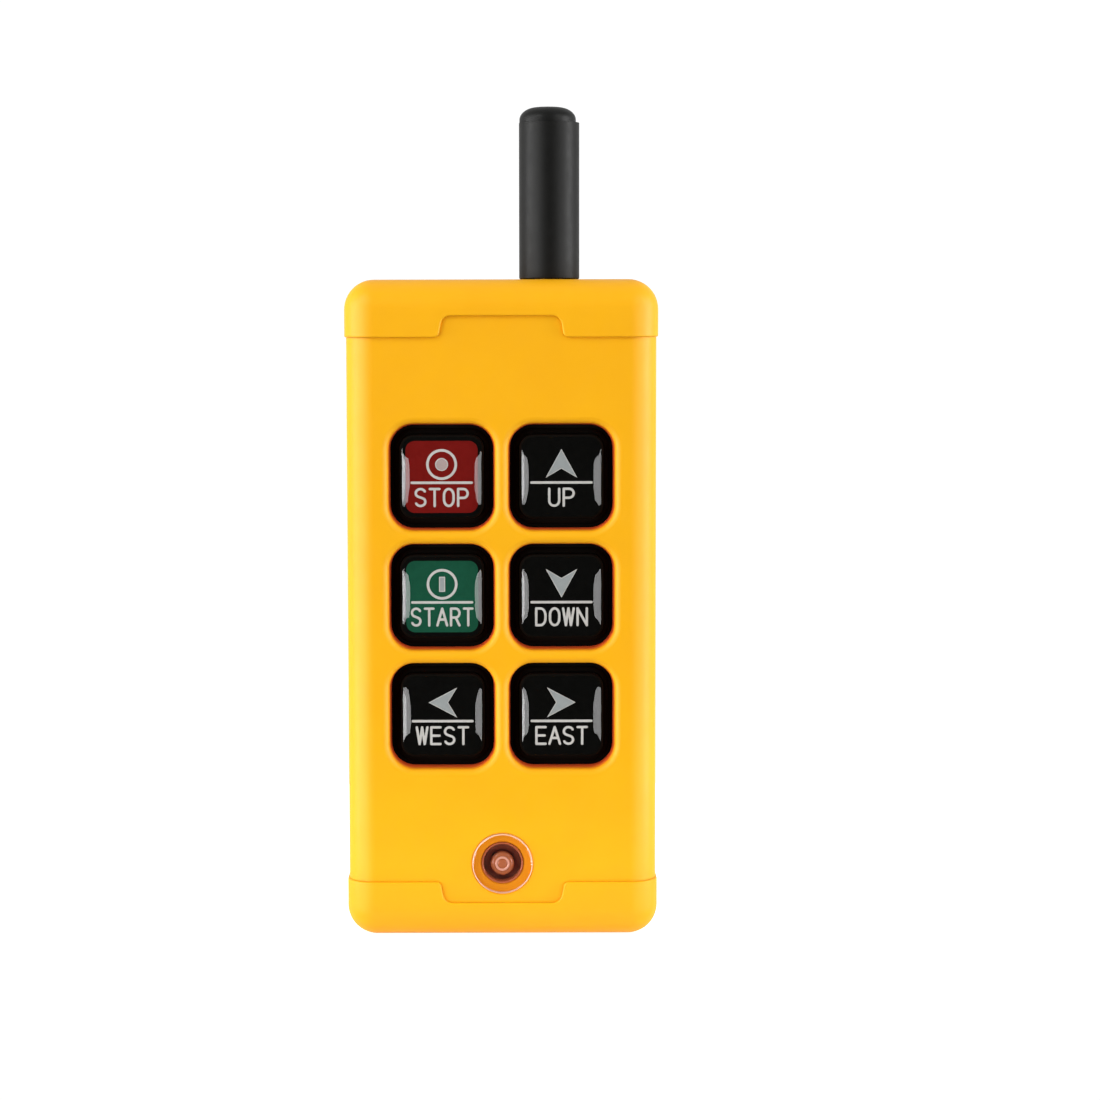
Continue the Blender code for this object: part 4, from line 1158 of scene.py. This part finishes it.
def make_antenna(materials):
    """A plain sleeve, and a plug with a rounded end that stands in it a little off the middle."""
    low, high = SLEEVE_LOW.z, SLEEVE_HIGH.z
    radius = (SLEEVE_HIGH.x - SLEEVE_LOW.x) / 2
    bore, edge, foot_edge = 4.7 * MM, 0.1 * MM, 0.2 * MM
    profile = [
        (bore, high),
        (radius - edge, high),
        (radius - edge * 0.3, high - edge * 0.3),
        (radius, high - edge),
        (radius, low + foot_edge),
        (radius - foot_edge, low),
        (bore, low),
        (bore, high),
    ]
    sleeve = turned("antenna_tube", profile, (ANTENNA_X, 0, 0), "Z", 96)
    dress(sleeve, materials["antenna"], "housing", replaces=["antenna_sleeve"])
    tip_low, tip_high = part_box("antenna_tip")
    tip_r = (tip_high.x - tip_low.x) / 2
    round_w, round_h = 3.7 * MM, 2.6 * MM
    shoulder = high + 0.03 * MM
    plug_r = 4.25 * MM
    profile = [(0, tip_high.z)]
    profile += arc((tip_r - round_w, tip_high.z - round_h), (round_w, round_h), 90, 0, 12)
    profile += [(tip_r, shoulder), (plug_r, shoulder), (plug_r, tip_low.z), (0, tip_low.z)]
    tip = turned("antenna_plug", profile, ((tip_low.x + tip_high.x) / 2, 0, 0), "Z", 96)
    dress(tip, materials["antenna"], "housing", replaces=["antenna_tip"])


# ---------------- inside


def make_cells(materials):
    """Round cells with a shrunk jacket and steel ends."""
    for i, upright in ((1, True), (2, False)):
        low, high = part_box(f"battery_cell_{i}")
        radius = (high.x - low.x) / 2
        length = high.z - low.z
        way, foot = (1, low.z) if upright else (-1, high.z)
        place = ((low.x + high.x) / 2, (low.y + high.y) / 2, foot)
        core = [
            (0, length),
            (1.6 * MM, length),
            (1.85 * MM, length - 0.25 * MM),
            (1.9 * MM, length - 0.8 * MM),
            (radius - 1.2 * MM, length - 0.8 * MM),
            (radius - 0.6 * MM, length - 0.95 * MM),
            (radius - 0.12 * MM, length - 1.3 * MM),
            (radius - 0.12 * MM, 0.5 * MM),
            (radius - 0.7 * MM, 0),
            (0, 0),
        ]
        can = turned(f"cell_can_{i}", [(r, way * h) for r, h in core], place)
        dress(can, materials["steel"], "housing", replaces=[f"battery_cell_{i}"])
        inner = radius - 0.1 * MM
        wrap = [
            (inner, length - 1.2 * MM),
            (inner + 0.02 * MM, length - 1.05 * MM),
            (radius, length - 1.25 * MM),
            (radius, 0.6 * MM),
            (inner + 0.02 * MM, 0.4 * MM),
            (inner, 0.55 * MM),
            (inner, length - 1.2 * MM),
        ]
        jacket = turned(f"cell_jacket_{i}", [(r, way * h) for r, h in wrap], place)
        dress(jacket, materials["jacket"], "housing")


def finish_inner_nodes(materials):
    """Materials for the CAD pieces that stay as they are."""
    parts = ("negative", "positive", "bridge", "spring_1", "spring_2")
    contacts = [f"contact_{part}" for part in parts]
    kinds = {
        "seal": ["shell_seal"],
        "board": ["main_board"],
        "steel": ["radio_module", "board_screw_1", "board_screw_2", *contacts],
        "brass": ["antenna_stud", "antenna_nut", "antenna_coil"],
        "black": ["controller_chip", "antenna_lead"],
    }
    kinds["black"] += [f"{part}_{key}" for part in ("switch", "plunger") for key in KEYS]
    for kind, names in kinds.items():
        for name in names:
            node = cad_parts[name]
            node.data.materials.clear()
            node.data.materials.append(materials[kind])


# ---------------- camera, floor and light

CAMERA_DISTANCE = 0.557
CAMERA_ELEVATION = math.radians(6.14)  # of the camera's place over the case's middle
CAMERA_TILT = math.radians(4.826)  # how far it looks down, which leaves the case low in the frame
CAMERA_ROLL = math.radians(-0.138)


def make_camera():
    data = bpy.data.cameras.new("camera")
    data.sensor_width = 36.0
    data.lens = 88.116
    data.shift_x = 0.0439
    data.clip_start = 0.01
    camera = new_object("camera", data)
    target = Vector((0, FRONT, CASE_H / 2))
    away = Vector((0, -math.cos(CAMERA_ELEVATION), math.sin(CAMERA_ELEVATION)))
    level = Matrix.Rotation(math.pi / 2 - CAMERA_TILT, 4, "X")
    place = Matrix.Translation(target + away * CAMERA_DISTANCE)
    camera.matrix_world = place @ level @ Matrix.Rotation(CAMERA_ROLL, 4, "Z")
    bpy.context.scene.camera = camera


def make_floor():
    """A pale table top, lit from within. To the camera it reads as white as the background."""
    nodes = Nodes("floor_paint").set(Roughness=0.9, Specular_IOR_Level=0.2)
    nodes.tint(nodes.noise(3.0), (0.78, 0.78, 0.78), (0.8, 0.8, 0.8))
    path = nodes.add("LightPath")
    glow = nodes.spread(path.outputs["Is Camera Ray"], 0.35, 0.9, at=(0, 1))
    nodes.link(glow, nodes.shader.inputs["Emission Strength"])
    nodes.set(Emission_Color=(1, 1, 1, 1))
    outline = [(u, v + 0.06) for u, v in rounded(0.13, 0.115, 0.04)]
    floor = loft("floor", [on_level(outline, -0.012), on_level(outline, 0.0)])
    floor.data.materials.append(nodes.made)
    floor.visible_glossy = False


def make_softbox(name, azimuth, elevation, width, height, brightness):
    """A plain square light seen from the object's middle, all angles in degrees. 0 is the front."""
    reach = 1.1
    middle = Vector((0, 0, CASE_H / 2))
    turn, lift = math.radians(azimuth), math.radians(elevation)
    level = math.cos(lift)
    away = Vector((math.sin(turn) * level, -math.cos(turn) * level, math.sin(lift)))
    data = bpy.data.lights.new(name, "AREA")
    data.shape = "RECTANGLE"
    data.size = 2 * reach * math.tan(math.radians(width / 2))
    data.size_y = 2 * reach * math.tan(math.radians(height / 2))
    data.energy = math.pi * data.size * data.size_y * brightness
    light = new_object(name, data)
    aim = (-away).to_track_quat("-Z", "Y").to_matrix().to_4x4()
    light.matrix_world = Matrix.Translation(middle + away * reach) @ aim


def make_world():
    """White to the camera. To the object it is dim in front and pale behind."""
    dim, pale, white = 0.04, 0.73, 1.05
    nodes = Nodes("studio", bpy.data.worlds, "Background").set(Color=(1, 1, 1, 1))
    fill = nodes.spread(nodes.depth("Generated"), dim, pale, at=(-0.1, 0.5))
    path = nodes.add("LightPath")
    strength = nodes.add("Mix")
    strength.inputs[3].default_value = white
    nodes.link(path.outputs["Is Camera Ray"], strength.inputs[0])
    nodes.link(fill, strength.inputs[2])
    nodes.link(strength.outputs[0], nodes.shader.inputs["Strength"])
    bpy.context.scene.world = nodes.made


def make_studio():
    make_world()
    for name, azimuth, elevation, width, height, brightness in (
        ("left_edge", -56, -5, 12, 22, 10.0),
        ("left_strip", -41, -5, 18, 22, 4.5),
        ("right_strip", 47, -5, 30, 22, 4.2),
        ("left_side", -82, 5, 20, 50, 8.0),
        ("right_side", 82, 5, 20, 50, 9.5),
        ("left_high", -48, 36, 30, 22, 6.0),
        ("right_high", 48, 36, 30, 22, 3.0),
        ("top", 0, 84, 60, 30, 0.5),
    ):
        make_softbox(name, azimuth, elevation, width, height, brightness)
    view = bpy.context.scene.view_settings
    view.view_transform = "Standard"
    view.look = "None"


def main():
    materials = make_materials()
    make_camera()
    make_floor()
    make_studio()
    make_caps(materials)
    make_front(materials)
    make_rear(materials)
    make_door(materials)
    make_screws(materials)
    make_boot(materials)
    for name in KEYS:
        make_key(name, materials)
    make_lens(materials)
    make_led(materials)
    make_antenna(materials)
    make_cells(materials)
    finish_inner_nodes(materials)


main()
